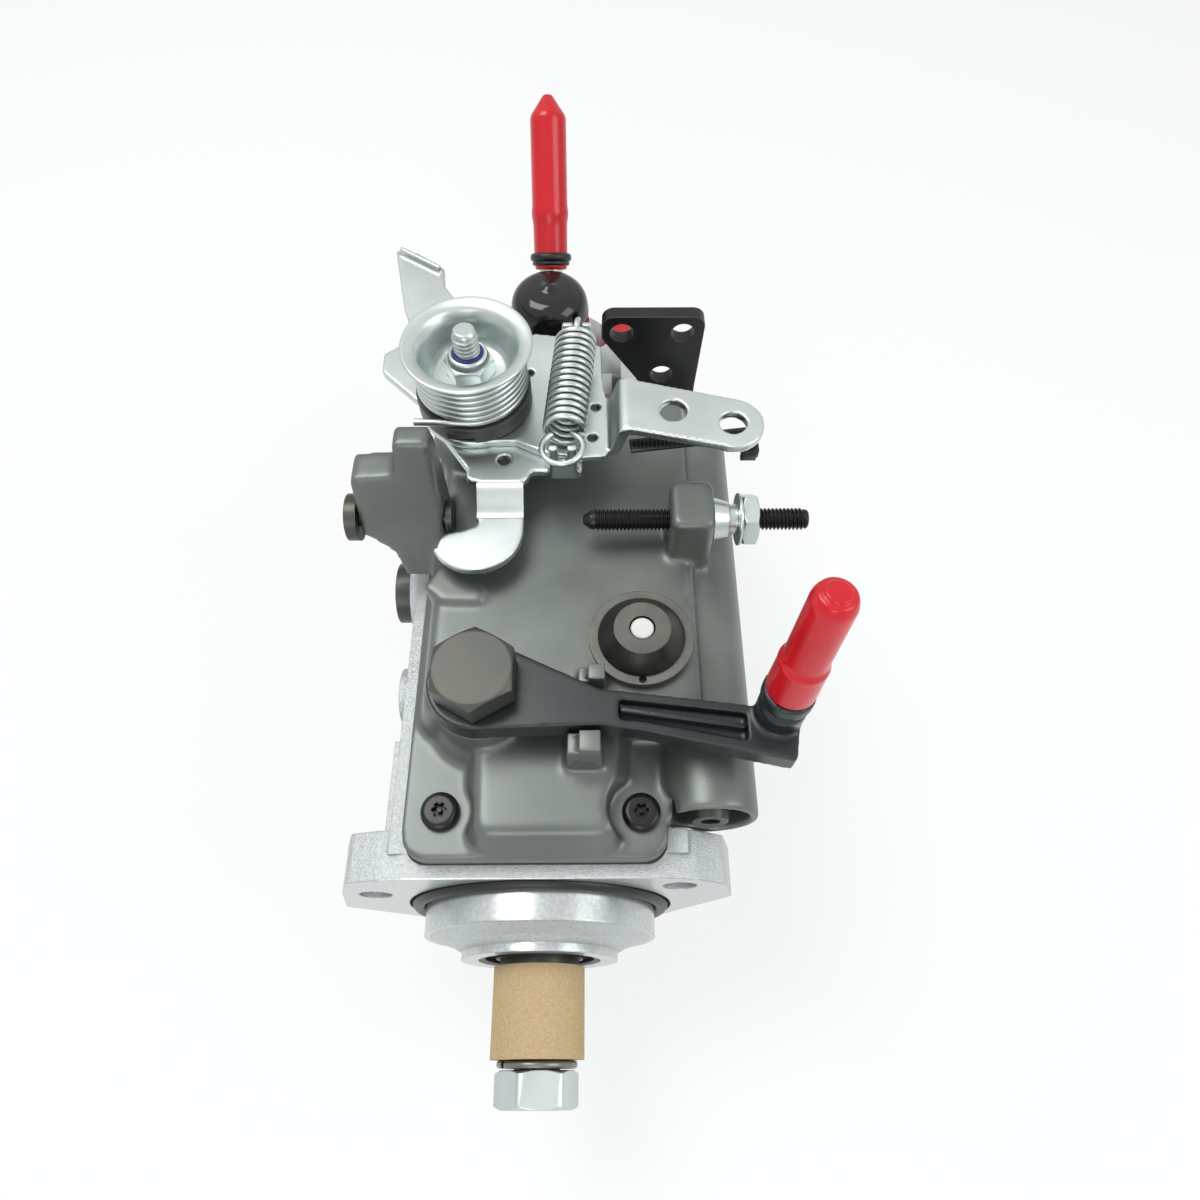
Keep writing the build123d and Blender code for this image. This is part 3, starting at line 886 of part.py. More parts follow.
def make_levers():
    top = CUP_TOP + 5.5
    shaft = rod_z(LEVER_SHAFT_R - RUN, CRANK_Z, STOP_LEVER_Z, LEVER_X, LEVER_Y)
    shaft += rod_z(5.0, STOP_LEVER_Z - 1, CUP_BOTTOM, LEVER_X, LEVER_Y)
    shaft += rod_z(3.9, CUP_BOTTOM - 1, top, LEVER_X, LEVER_Y)
    shaft += block(LEVER_X - 3, LEVER_X + 11.5, LEVER_Y - 3, LEVER_Y + 3, CRANK_Z, CRANK_Z + 4)
    hub = Pos(LEVER_X, LEVER_Y) * Circle(15.0)
    stop_plate = hub + rounded([(-31, 128), (-21, 113), (-20.6, 108.4), (-2.6, 108.4), (-1.0, 112),
                                (14, 110.5), (14, 122), (-6, 133)], 1.6)
    stop = slab_z(stop_plate, STOP_LEVER_Z, STOP_LEVER_Z + LEVER_T)
    upper = STOP_LEVER_Z + LEVER_T
    lower = FINGER_Z + LEVER_T
    step = bent_strip([(110.2, upper), (106.6, upper), (103.4, lower), (98.0, lower)],
                      [(98.0, FINGER_Z), (101.6, FINGER_Z), (104.8, STOP_LEVER_Z), (110.2, STOP_LEVER_Z)])
    stop += Pos(-17.6, 0, 0) * extrude(Plane.YZ * step, 14.2)
    stop += slab_z(finger_outline(), FINGER_Z, FINGER_Z + LEVER_T)
    stop += block(4.3, 12.7, 110.6, 112.6, STOP_LEVER_Z, ARM_Z + 1.5)
    stop -= block(SPRING_FRONT[0] - 1.2, SPRING_FRONT[0] + 1.2, 109, 114, COLLAR_Z + 2.5, ARM_Z + 3)
    stop -= rod_z(5.02, STOP_LEVER_Z - 1, STOP_LEVER_Z + 5, LEVER_X, LEVER_Y)
    stop -= rod_z(2.0, STOP_LEVER_Z - 1, STOP_LEVER_Z + 5, -9.7, 116.1)
    z0 = THROTTLE_LEVER_Z
    plate = Pos(LEVER_X, LEVER_Y) * Circle(17.5)
    plate += rounded([(-24, 121), (-6, 121), (3, 116.4), (12, 114.6), (21.6, 115.0), (21.6, 138.5),
                      (20.6, 143), (20, 160.6), (6.7, 165), (-1.6, 166.2), (-24, 150)], 1.5)
    plate += rounded([(-52, 207.5), (-44, 205.5), (-34, 197.5), (-33.2, 189), (-10, 152), (-24, 132),
                      (-38, 137.5), (-50, 149.5), (-50.5, 157.2), (-41.5, 164), (-46.2, 179)], 1.2)
    lever = slab_z(plate, z0, z0 + LEVER_T)
    arm_top = ARM_Z + LEVER_T
    joggle = bent_strip([(18.5, z0), (25.2, z0), (28.0, ARM_Z), (30.5, ARM_Z)],
                        [(30.5, arm_top), (25.2, arm_top), (22.4, z0 + LEVER_T), (18.5, z0 + LEVER_T)])
    lever += slab_y(joggle, 117.0, 137.5)
    arm = rounded([(28.6, 117.0), (28.6, 136.7), (60.5, 128.4), (58.0, 110.3)], 0.8)
    arm += Pos(ARM_HOLES[1]) * Circle(9.2)
    lever += slab_z(arm, ARM_Z, ARM_Z + LEVER_T)
    tab_x = SPRING_REAR[0]
    lever += block(tab_x - 5, tab_x + 4.4, 158.6, 160.6, z0, ARM_Z + 3)
    lever -= block(tab_x - 1.2, tab_x + 1.2, 158, 161, COLLAR_Z + 2.5, ARM_Z + 4)
    lever += Pos(-42.3, 200.2, z0 + 3.2) * Rot(0, 0, -34) * Box(17.5, 1.6, 5)
    for x, y in ARM_HOLES:
        lever -= rod_z(ARM_HOLE_R, ARM_Z - 1, ARM_Z + 5, x, y)
    for x, y in ((-2.9, 148.6), (18.1, 134.3), (17.1, 122.3)):
        lever -= rod_z(1.5, z0 - 1, z0 + 5, x, y)
    lever -= rod_z(5.05, z0 - 1, z0 + 5, LEVER_X, LEVER_Y)
    collar = rod_z(COLLAR_R, COLLAR_Z + SEAT, CUP_BOTTOM - SEAT, LEVER_X, LEVER_Y)
    collar -= rod_z(5.05, COLLAR_Z, CUP_BOTTOM, LEVER_X, LEVER_Y)
    collar -= block(LEVER_X - 9, LEVER_X + 1, LEVER_Y - 24, LEVER_Y - 16, COLLAR_Z, COLLAR_Z + 3.4)
    cup_profile = make_face(Polyline(
        (4.0, CUP_BOTTOM), (CUP_R, CUP_BOTTOM), (CUP_R, CUP_TOP - 3),
        (CUP_RIM_R, CUP_TOP - 1.2), (CUP_RIM_R, CUP_TOP), (CUP_R, CUP_TOP - 1.0),
        (CUP_R - CUP_WALL, CUP_TOP - 3), (CUP_FLOOR_R, CUP_FLOOR), (4.0, CUP_FLOOR), close=True))
    cup = Pos(LEVER_X, LEVER_Y, 0) * revolve(Plane.XZ * cup_profile, Axis.Z)
    coil = coil_row(COIL_R - 1.0, COIL_WIRE_R, COIL_TURNS, CUP_TOP - 3.2 - CUP_BOTTOM)
    coil = Pos(LEVER_X, LEVER_Y, CUP_BOTTOM) * coil
    leg_z = CUP_BOTTOM + COIL_WIRE_R
    coil += Pos(-28.0, LEVER_Y - COIL_R + 1.0, leg_z) * Rot(0, 90, 0) * Cylinder(COIL_WIRE_R, 22)
    nut = hex_z(LEVER_NUT_AF, CUP_FLOOR, CUP_FLOOR + 5.6, LEVER_X, LEVER_Y, 30)
    nut += rod_z(5.4, CUP_FLOOR + 5, CUP_FLOOR + 8, LEVER_X, LEVER_Y)
    nut -= rod_z(3.95, CUP_FLOOR - 1, CUP_FLOOR + 9, LEVER_X, LEVER_Y)
    parts["throttle_shaft"] = shaft
    parts["stop_lever"] = stop
    parts["throttle_lever"] = lever
    parts["spring_collar"] = collar
    parts["spring_cup"] = cup
    parts["torsion_spring"] = coil
    parts["lever_nut"] = nut
    parts["tension_spring"] = make_tension_spring()


def make_tension_spring():
    """Spring between the two lever tabs, with a loop at each end."""
    front = Vector(*SPRING_FRONT)
    along = Vector(*SPRING_REAR) - front
    length = along.length
    axis = Plane(origin=front, z_dir=along)
    coil = axis * Pos(0, 0, 4.5) * coil_row(SPRING_R - SPRING_WIRE_R, SPRING_WIRE_R, SPRING_TURNS, length - 9)
    for reach in (1.6, length - 1.6):
        loop_at = front + along * (reach / length)
        coil += Pos(loop_at.X, loop_at.Y, loop_at.Z) * Rot(0, 90, 0) * Torus(3.4, SPRING_WIRE_R)
    return coil


# ---------------------------------------------------------------- assembly

parts["housing"] = make_housing()
parts["cover_gasket"] = make_gasket()
parts["governor_cover"] = make_cover()
parts["cover_screws"] = Compound([security_screw(x, y) for x, y in PAD_SCREWS + REAR_SCREWS])
make_shaft_line()
make_governor()
make_pumping()
make_advance()
make_head()
make_rear()
make_solenoid()
make_inlet()
make_return()
make_cone_cap()
make_stops()
make_levers()

os.makedirs("parts", exist_ok=True)
for name, shape in parts.items():
    export_step(shape, f"parts/{name}.step")
print(len(parts), "nodes")
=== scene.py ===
# %% [markdown]
# # A diesel injection pump
# A rotary pump that feeds a diesel engine: an aluminium housing with a grey cover, a stack of plated levers
# and springs on top, and shipping caps on every opening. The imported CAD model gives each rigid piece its
# place. It could be shown as it is, but CAD leaves some shapes plain, so this lesson adds the camera, the
# light, the finishes, and soft casting edges, coil springs, threads and vinyl caps.

# %% Load the frame
import bpy
import bmesh
import json
from math import cos, pi, radians, sin, sqrt
from mathutils import Matrix, Vector


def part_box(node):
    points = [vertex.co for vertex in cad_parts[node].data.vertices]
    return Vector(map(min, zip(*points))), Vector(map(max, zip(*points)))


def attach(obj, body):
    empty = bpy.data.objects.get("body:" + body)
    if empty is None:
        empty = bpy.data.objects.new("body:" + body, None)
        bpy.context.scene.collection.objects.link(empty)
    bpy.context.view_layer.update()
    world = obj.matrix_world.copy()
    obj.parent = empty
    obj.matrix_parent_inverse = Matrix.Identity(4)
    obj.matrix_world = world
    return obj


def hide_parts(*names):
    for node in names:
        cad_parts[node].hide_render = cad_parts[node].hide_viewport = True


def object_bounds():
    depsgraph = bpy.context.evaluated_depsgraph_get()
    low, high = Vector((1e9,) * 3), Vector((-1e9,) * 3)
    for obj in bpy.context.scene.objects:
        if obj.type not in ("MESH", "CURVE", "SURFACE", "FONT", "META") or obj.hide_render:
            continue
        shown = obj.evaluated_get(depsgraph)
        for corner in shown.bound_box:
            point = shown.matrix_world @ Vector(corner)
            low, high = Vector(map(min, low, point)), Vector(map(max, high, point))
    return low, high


MM = 0.001
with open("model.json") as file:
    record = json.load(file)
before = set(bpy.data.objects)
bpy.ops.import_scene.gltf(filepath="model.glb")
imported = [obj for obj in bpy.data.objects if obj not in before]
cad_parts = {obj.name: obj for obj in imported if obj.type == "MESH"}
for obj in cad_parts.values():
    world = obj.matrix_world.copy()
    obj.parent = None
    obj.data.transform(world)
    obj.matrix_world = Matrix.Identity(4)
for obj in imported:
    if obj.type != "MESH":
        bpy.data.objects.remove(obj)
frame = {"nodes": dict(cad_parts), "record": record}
cad_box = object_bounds()
nodes = frame["nodes"]
bpy.context.scene.view_settings.view_transform = "Standard"

# %% [markdown]
# ## Camera
# The pump stands on its underside and is seen from in front and well above, so the camera looks down by
# about 61 degrees. A long lens from far away would flatten it. A short lens close by gives the strong
# narrowing towards the floor that a pump on a bench shows. The lens is given as a focal length in pixels of
# a frame 1200 pixels wide, because that ratio is what sets the perspective.

# %% Camera
FRAME_PIXELS = 1200
FOCAL_PIXELS = 866.0
DEGREES_DOWN = 60.9
DEGREES_ASIDE = -0.32
CAMERA_PLACE = (0.01857, -0.04938, 0.29037)


def put_in_scene(name, data):
    """Object that holds some data, linked to the scene."""
    thing = bpy.data.objects.new(name, data)
    bpy.context.scene.collection.objects.link(thing)
    return thing


camera_data = bpy.data.cameras.new("camera")
camera_data.sensor_width = 36.0
camera_data.sensor_fit = "HORIZONTAL"
camera_data.lens = camera_data.sensor_width * FOCAL_PIXELS / FRAME_PIXELS
camera = put_in_scene("camera", camera_data)
camera.location = CAMERA_PLACE
camera.rotation_euler = (radians(90 - DEGREES_DOWN), 0, radians(DEGREES_ASIDE))
bpy.context.scene.camera = camera
print("lens", round(camera_data.lens, 2), "mm")

# %% [markdown]
# ## Nodes with less typing
# Backdrop, floor and finishes are all node trees. They could be built with four lines for every node, but
# the idea would be lost in them. Three small helpers keep the trees readable: one adds a node with its
# settings, one adds a colour ramp, and one does sums with sockets and plain numbers.

# %% Node helpers


def add_node(tree, kind, sockets=None, **settings):
    """Add a shader node with property settings, and with values for its input sockets by name or number."""
    node = tree.nodes.new("ShaderNode" + kind)
    for name, value in settings.items():
        setattr(node, name, value)
    for socket, value in (sockets or {}).items():
        node.inputs[socket].default_value = value
    return node


def add_ramp(tree, source, stops, interpolation="LINEAR"):
    """Colour socket of a ramp that reads source and runs through stops, each a position and a colour."""
    node = add_node(tree, "ValToRGB")
    node.color_ramp.interpolation = interpolation
    elements = node.color_ramp.elements
    while len(elements) < len(stops):
        elements.new(0.5)
    for element, (position, colour) in zip(elements, stops):
        element.position = position
        element.color = (*colour, 1)
    tree.links.new(source, node.inputs[0])
    return node.outputs[0]


def maths(tree, operation, first, second, clamp=False):
    """Socket with the result of a sum. Each term is a socket or a plain number."""
    node = add_node(tree, "Math", operation=operation, use_clamp=clamp)
    for socket, term in zip(node.inputs, (first, second)):
        if isinstance(term, float):
            socket.default_value = term
        else:
            tree.links.new(term, socket)
    return node.outputs[0]


def seen_directly(tree):
    """1 where the camera, a mirror or glass looks at the surface, 0 where it only lights the object."""
    path = add_node(tree, "LightPath").outputs
    seen = maths(tree, "MAXIMUM", path["Is Camera Ray"], path["Is Glossy Ray"])
    return maths(tree, "MAXIMUM", seen, path["Is Transmission Ray"])


print("node helpers ready")

# %% [markdown]
# ## Backdrop
# The pump stands in a white booth. A plain white world would do for paint, but bright metal that mirrors
# only white looks like plaster. So the backdrop turns a little grey towards the horizon. The camera,
# mirrors and glass see it at full strength, and it is dimmer where it only lights the object, so that the
# lamps can shape the pump.

# %% Backdrop
WHITE = (1.0, 1.0, 1.0)
HORIZON_GREY = (0.70, 0.73, 0.73)
FILL_COLOUR = (0.94, 0.99, 1.0, 1)
FILL_STRENGTH = 0.46

world = bpy.data.worlds.new("studio")
bpy.context.scene.world = world
world.use_nodes = True
sky = world.node_tree
sky.nodes.clear()
direction = add_node(sky, "TexCoord")
height = add_node(sky, "SeparateXYZ")
backdrop = add_node(sky, "Background")
fill = add_node(sky, "Background", {"Color": FILL_COLOUR, "Strength": FILL_STRENGTH})
sky_mix = add_node(sky, "MixShader")
sky_out = add_node(sky, "OutputWorld")
sky.links.new(direction.outputs["Generated"], height.inputs[0])
backdrop_tone = add_ramp(sky, height.outputs["Z"], ((0.10, HORIZON_GREY), (0.50, WHITE)))
sky.links.new(backdrop_tone, backdrop.inputs["Color"])
sky.links.new(seen_directly(sky), sky_mix.inputs[0])
sky.links.new(fill.outputs[0], sky_mix.inputs[1])
sky.links.new(backdrop.outputs[0], sky_mix.inputs[2])
sky.links.new(sky_mix.outputs[0], sky_out.inputs[0])
print("backdrop nodes:", len(sky.nodes))

# %% [markdown]
# ## Floor
# The pump stands on a sheet of white paper. It could be lit until it is white, but that would bleach the
# pump too. Instead, where the camera or a shiny surface looks at the sheet, most of its white is its own
# glow. The rest is paper that still takes a soft shadow.

# %% Floor
FLOOR_Z = cad_box[0][2]
FLOOR_HALF_SIDE = 3.0
PAPER_COLOUR = (0.90, 0.92, 0.92, 1)
GLOW_STRENGTH = 1.06
GLOW_SHARE = 0.66

sheet = bmesh.new()
bmesh.ops.create_grid(sheet, x_segments=1, y_segments=1, size=FLOOR_HALF_SIDE)
bmesh.ops.translate(sheet, verts=sheet.verts, vec=(0, 0, FLOOR_Z))
floor_mesh = bpy.data.meshes.new("floor")
sheet.to_mesh(floor_mesh)
sheet.free()
floor = put_in_scene("floor", floor_mesh)

paper = bpy.data.materials.new("white_paper")
paper.use_nodes = True
paper_tree = paper.node_tree
paper_shader = paper_tree.nodes["Principled BSDF"]
paper_shader.inputs["Base Color"].default_value = PAPER_COLOUR
paper_shader.inputs["Roughness"].default_value = 0.8
paper_glow = add_node(paper_tree, "Emission", {"Color": (*WHITE, 1), "Strength": GLOW_STRENGTH})
paper_mix = add_node(paper_tree, "MixShader")
glow_part = maths(paper_tree, "MULTIPLY", seen_directly(paper_tree), GLOW_SHARE)
paper_tree.links.new(glow_part, paper_mix.inputs[0])
paper_tree.links.new(paper_shader.outputs[0], paper_mix.inputs[1])
paper_tree.links.new(paper_glow.outputs[0], paper_mix.inputs[2])
paper_tree.links.new(paper_mix.outputs[0], paper_tree.nodes["Material Output"].inputs[0])
floor_mesh.materials.append(paper)
print("floor at", round(FLOOR_Z / MM, 1), "mm")

# %% [markdown]
# ## Lamps
# A booth has large soft lamps. One lamp over the camera would fill every edge and leave the metal flat, so
# the key lamp stands behind the pump, high and to the left, where it draws a bright edge along cups and
# castings. A weaker one on the right and one in front open the shadows.

# %% Lamps
LAMP_SIDE = 0.5
COOL_WHITE = (0.96, 0.99, 1)


def softbox(name, place, aim, watts, tint=WHITE):
    """A square lamp at place that faces aim."""
    lamp = bpy.data.lights.new(name, "AREA")
    lamp.shape = "SQUARE"
    lamp.size = LAMP_SIDE
    lamp.energy = watts
    lamp.color = tint
    holder = put_in_scene(name, lamp)
    holder.location = place
    holder.rotation_euler = (Vector(aim) - Vector(place)).to_track_quat("-Z", "Y").to_euler()


softbox("key", (-0.35, 0.30, 0.95), aim=(0, 0.08, 0), watts=4.6)
softbox("side", (0.75, -0.15, 0.65), aim=(0, 0.08, 0), watts=2.2, tint=COOL_WHITE)
softbox("front", (-0.10, -0.95, 0.55), aim=(0, 0.0, 0.02), watts=2.2)
print("lamps:", len(bpy.data.lights))

# %% [markdown]
# ## What a finish is made of
# No metal or plastic on the pump has one even colour. Painted textures could show that, but they need a map
# for every piece. One node material does the same for all: colour that wanders between two tones, roughness
# that wanders with it and a fine grain in its normal. It reads Object coordinates, which are the same in
# CAD pieces and in new ones. A Bevel node rounds the look of sharp edges, and where its normal leaves the
# flat one, a worn edge tone can show through. Narrow gaps, as between threads and coils, get painted shade:
# an occlusion test darkens the base colour there, where little light gets in.

# %% Material helper
MIX_A, MIX_B, MIX_RESULT = 6, 7, 2  # colour sockets of the Mix node
TURNED_ROUGHNESS = 0.24
# Reach and darkest tone of the painted shade in narrow gaps.
GAP_REACH = 2.5 * MM
DARKEST_GAP_SHADE = 0.30


def multiplied(tree, colour, tone):
    """Colour socket with the product of a colour and a tone."""
    product = add_node(tree, "Mix", {"Factor": 1.0}, data_type="RGBA", blend_type="MULTIPLY")
    tree.links.new(colour, product.inputs[MIX_A])
    tree.links.new(tone, product.inputs[MIX_B])
    return product.outputs[MIX_RESULT]


def worn_edges(tree, colour, rounded_normal, worn):
    """Colour socket that turns to the worn tone where the rounded normal leaves the flat one."""
    flat = add_node(tree, "NewGeometry")
    likeness = add_node(tree, "VectorMath", operation="DOT_PRODUCT")
    rubbed = add_node(tree, "MapRange", {"From Min": 0.97, "From Max": 0.80})
    mix = add_node(tree, "Mix", {MIX_B: (*worn, 1)}, data_type="RGBA")
    tree.links.new(rounded_normal, likeness.inputs[0])
    tree.links.new(flat.outputs["True Normal"], likeness.inputs[1])
    tree.links.new(likeness.outputs["Value"], rubbed.inputs[0])
    tree.links.new(rubbed.outputs[0], mix.inputs["Factor"])
    tree.links.new(colour, mix.inputs[MIX_A])
    return mix.outputs[MIX_RESULT]


def banded(tree, colour, place, bands):
    """Colour socket with a tone for each band along Z. Each band is the height it starts at and its tone."""
    low, high = bands[0][0], bands[-1][0]
    along = add_node(tree, "SeparateXYZ")
    span = add_node(tree, "MapRange", {"From Min": low * MM, "From Max": high * MM})
    tree.links.new(place, along.inputs[0])
    tree.links.new(along.outputs["Z"], span.inputs[0])
    stops = [((z - low) / (high - low), (tone, tone, tone)) for z, tone in bands]
    return multiplied(tree, colour, add_ramp(tree, span.outputs[0], stops, "CONSTANT"))


def finish(name, light, dark, rough, metal=0.0, patch=40.0, grain=900.0, depth=0.0, edge=0.0004, spread=0.08,
           worn=None, smooth=None, bands=None):
    """Node material: two tones in soft patches, roughness that follows, grain, rounded and worn edges.

    patch and grain are the scales of the two noises, depth and edge are the height of the grain and the
    radius of the edges in metres, and spread is how far the roughness wanders. smooth builds a mask where
    machining has taken the grain away, and bands tint the colour along Z."""
    material = bpy.data.materials.new(name)
    material.use_nodes = True
    tree = material.node_tree
    link = tree.links.new
    shader = tree.nodes["Principled BSDF"]
    shader.inputs["Metallic"].default_value = metal
    place = add_node(tree, "TexCoord").outputs["Object"]

    patches = add_node(tree, "TexNoise", {"Scale": patch, "Detail": 5.0})
    link(place, patches.inputs["Vector"])
    colour = add_ramp(tree, patches.outputs["Fac"], ((0.32, dark), (0.68, light)))

    rounding = add_node(tree, "Bevel", {"Radius": edge}, samples=4)
    fine = add_node(tree, "TexNoise", {"Scale": grain, "Detail": 3.0})
    bump = add_node(tree, "Bump", {"Distance": depth})
    link(place, fine.inputs["Vector"])
    link(fine.outputs["Fac"], bump.inputs["Height"])
    link(rounding.outputs[0], bump.inputs["Normal"])
    link(bump.outputs[0], shader.inputs["Normal"])

    if smooth:
        rough_part = maths(tree, "SUBTRACT", 1.0, smooth(tree, place))
        link(rough_part, bump.inputs["Strength"])
        shine = add_node(tree, "MapRange", {"To Min": TURNED_ROUGHNESS, "To Max": rough})
        link(rough_part, shine.inputs[0])
    else:
        shine = add_node(tree, "MapRange", {"To Min": rough - spread, "To Max": rough + spread})
        link(patches.outputs["Fac"], shine.inputs[0])
    link(shine.outputs[0], shader.inputs["Roughness"])

    if worn:
        colour = worn_edges(tree, colour, rounding.outputs[0], worn)
    # Painted shade: ambient occlusion darkens the base colour in narrow gaps, as between threads and coils.
    gaps = add_node(tree, "AmbientOcclusion", {"Distance": GAP_REACH}, samples=6, only_local=True)
    painted_gap_shade = add_node(tree, "MapRange", {"From Min": 0.25, "From Max": 0.95, "To Min": DARKEST_GAP_SHADE})
    link(gaps.outputs["AO"], painted_gap_shade.inputs[0])
    colour = multiplied(tree, colour, painted_gap_shade.outputs[0])
    if bands:
        colour = banded(tree, colour, place, bands)
    link(colour, shader.inputs["Base Color"])
    return material


print("material helper ready")

# %% [markdown]
# ## Where the housing is machined
# The aluminium casting is rough, but its faces in front of the flange are turned on a lathe: the pilot and
# the nose ring. Only the slope between them keeps its cast skin. The faces could be sorted by hand into two
# materials, but a mask tells them apart by Y and by the distance from the shaft's axis, so the casting stays
# one piece with one material.

# %% Machined mask
FLANGE_FACE = 0.0003
SLOPE_FRONT = -0.01395
SLOPE_REAR = -0.0097
SLOPE_RADIUS = 0.0345


def machined_front(tree, place):
    """1 on the turned faces in front of the flange, 0 on cast skin and on the slope behind the nose ring."""
    split = add_node(tree, "SeparateXYZ")
    flat = add_node(tree, "VectorMath", {1: (1, 0, 1)}, operation="MULTIPLY")
    radius = add_node(tree, "VectorMath", operation="LENGTH")
    tree.links.new(place, split.inputs[0])
    tree.links.new(place, flat.inputs[0])
    tree.links.new(flat.outputs[0], radius.inputs[0])
    y = split.outputs["Y"]
    slope = maths(tree, "MULTIPLY", maths(tree, "LESS_THAN", y, SLOPE_REAR),
                  maths(tree, "GREATER_THAN", y, SLOPE_FRONT))
    slope = maths(tree, "MULTIPLY", slope, maths(tree, "LESS_THAN", radius.outputs["Value"], SLOPE_RADIUS))
    front = maths(tree, "LESS_THAN", y, FLANGE_FACE)
    return maths(tree, "SUBTRACT", front, slope, clamp=True)


cast_silver = finish("cast_aluminium", (0.62, 0.65, 0.65), (0.50, 0.53, 0.535), 0.44, metal=0.75, patch=900,
                     grain=2600, depth=0.0003, edge=0.0008, spread=0.06, smooth=machined_front)
print("cast aluminium nodes:", len(cast_silver.node_tree.nodes))

# %% [markdown]
# ## The finishes of this pump
# Each finish is one call with its two tones, its roughness and how coarse its grain is. Plated and turned
# steel are fully metallic. Vinyl, nylon, rubber and card are not. The grey cover and the blackened bolts
# lie between, because their thin coats let some of the metal show.

# %% Finishes
cover_grey = finish("cover_casting", (0.185, 0.205, 0.190), (0.130, 0.145, 0.133), 0.36, metal=0.45, patch=35,
                    grain=1900, depth=0.00002, edge=0.0006)
zinc = finish("zinc_plate", (0.62, 0.67, 0.66), (0.52, 0.57, 0.56), 0.30, metal=1.0, patch=60, grain=800,
              depth=0.00001, spread=0.05)
turned_steel = finish("turned_steel", (0.50, 0.50, 0.50), (0.38, 0.38, 0.39), 0.32, metal=1.0, patch=50,
                      depth=0.00001)
split_steel = finish("split_washer_steel", (0.24, 0.245, 0.22), (0.15, 0.155, 0.14), 0.30, metal=0.9,
                     patch=90, depth=0.00001)
black_oxide = finish("black_oxide", (0.016, 0.017, 0.018), (0.008, 0.008, 0.009), 0.36, metal=0.3, patch=90,
                     grain=1200, depth=0.00001, edge=0.0007, worn=(0.16, 0.145, 0.125))
deep_black = finish("deep_black", (0.012, 0.013, 0.014), (0.006, 0.006, 0.007), 0.28, metal=0.3, patch=90,
                    grain=1200, depth=0.00001)
dark_steel = finish("dark_steel", (0.085, 0.090, 0.078), (0.050, 0.052, 0.045), 0.36, metal=0.7, patch=120,
                    depth=0.00001, edge=0.0005, worn=(0.20, 0.20, 0.17))
bolt_steel = finish("bolt_steel", (0.112, 0.100, 0.084), (0.074, 0.086, 0.076), 0.42, metal=0.6, patch=90,
                    grain=1100, depth=0.00001, edge=0.0008, worn=(0.15, 0.155, 0.13))
cap_steel = finish("cap_steel", (0.115, 0.118, 0.100), (0.080, 0.084, 0.072), 0.38, metal=0.6, patch=120,
                   grain=1600, depth=0.00004, bands=((65.0, 1.55), (68.8, 0.40), (74.2, 1.25), (76.0, 1.25)))
peg_grey = finish("cover_pegs", (0.20, 0.22, 0.20), (0.145, 0.16, 0.145), 0.38, metal=0.45, patch=60,
                  grain=1500, depth=0.00001, worn=(0.36, 0.37, 0.34))
collar_nylon = finish("collar_nylon", (0.075, 0.085, 0.075), (0.045, 0.052, 0.046), 0.42, metal=0.2, patch=60,
                      depth=0.00002, edge=0.0006, worn=(0.15, 0.16, 0.145))
black_nylon = finish("black_nylon", (0.018, 0.026, 0.028), (0.010, 0.015, 0.017), 0.30, patch=60, grain=1100,
                     depth=0.00002, edge=0.0008)
white_nylon = finish("white_nylon", (0.85, 0.85, 0.83), (0.78, 0.78, 0.76), 0.5, patch=60, grain=600,
                     depth=0.00001)
blue_nylon = finish("blue_nylon", (0.02, 0.05, 0.26), (0.012, 0.03, 0.18), 0.4, patch=60, grain=600,
                    depth=0.00001)
black_vinyl = finish("black_vinyl", (0.006, 0.006, 0.007), (0.003, 0.003, 0.004), 0.10, patch=30, grain=300,
                     depth=0.00001, spread=0.03)
red_vinyl = finish("red_vinyl", (0.74, 0.004, 0.016), (0.60, 0.002, 0.010), 0.24, patch=60, grain=260,
                   depth=0.00004)
rubber = finish("rubber", (0.010, 0.010, 0.011), (0.005, 0.005, 0.006), 0.38, patch=80, depth=0.00001)
cardboard = finish("cardboard", (0.66, 0.49, 0.275), (0.53, 0.38, 0.195), 0.85, patch=1500, grain=1500,
                   depth=0.00008)
fibre = finish("gasket_fibre", (0.10, 0.10, 0.095), (0.06, 0.06, 0.06), 0.8)
copper = finish("soft_copper", (0.62, 0.36, 0.24), (0.45, 0.24, 0.15), 0.35, metal=1.0)
print("materials:", len(bpy.data.materials))

# %% [markdown]
# ## Finishes for the CAD pieces
# The record names a material slot for each piece, and each slot has its finish. That could be all, but a
# few pieces have a finish of their own, because the same material is darker or duller there.

# %% Give each CAD node its finish
slot_finish = {
    "cast_aluminium": cast_silver, "grey_casting": cover_grey, "zinc_plate": zinc, "steel": turned_steel,
    "black_oxide": black_oxide, "olive_plate": dark_steel, "black_plastic": black_nylon,
    "black_vinyl": black_vinyl, "red_vinyl": red_vinyl, "rubber": rubber, "cardboard": cardboard,
    "gasket": fibre, "copper": copper,
}
own_finish = {
    "conical_cap": cap_steel, "spring_collar": collar_nylon, "drive_shaft": dark_steel,
    "idle_stop_screw": dark_steel, "banjo_bolt": bolt_steel, "cover_screws": deep_black,
}
for part in frame["record"]["subparts"]:
    node_name = part["node"]
    used = nodes[node_name].data.materials
    used.clear()
    used.append(own_finish.get(node_name, slot_finish[part["material_slot"]]))
print("finishes:", len(slot_finish), "for slots and", len(own_finish), "for single pieces")

# %% [markdown]
# ## Soft castings and pressings
# A casting has no sharp edge: the mould rounds its corners outside and fills them inside. A pressed lever
# has rounded edges and a bend radius. Both come from the CAD shape itself: it is remeshed into small even
# cells, and the cells are relaxed a few times, which wears corners round and fills hollows by the same
# amount.

# %% Piece helpers


def add_piece(name, mesh, material, body, slot, *replaced, angle=50):
    """Link a finished mesh as a piece that rides on a body, and stands for CAD nodes if any are named."""
    piece = put_in_scene(name, mesh)
    mesh.materials.clear()
    mesh.materials.append(material)
    mesh.shade_smooth()
    mesh.set_sharp_from_angle(angle=radians(angle))
    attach(piece, body)
    if replaced:
        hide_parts(*replaced)
    print(name, "on", body, "with", len(mesh.polygons), "faces")


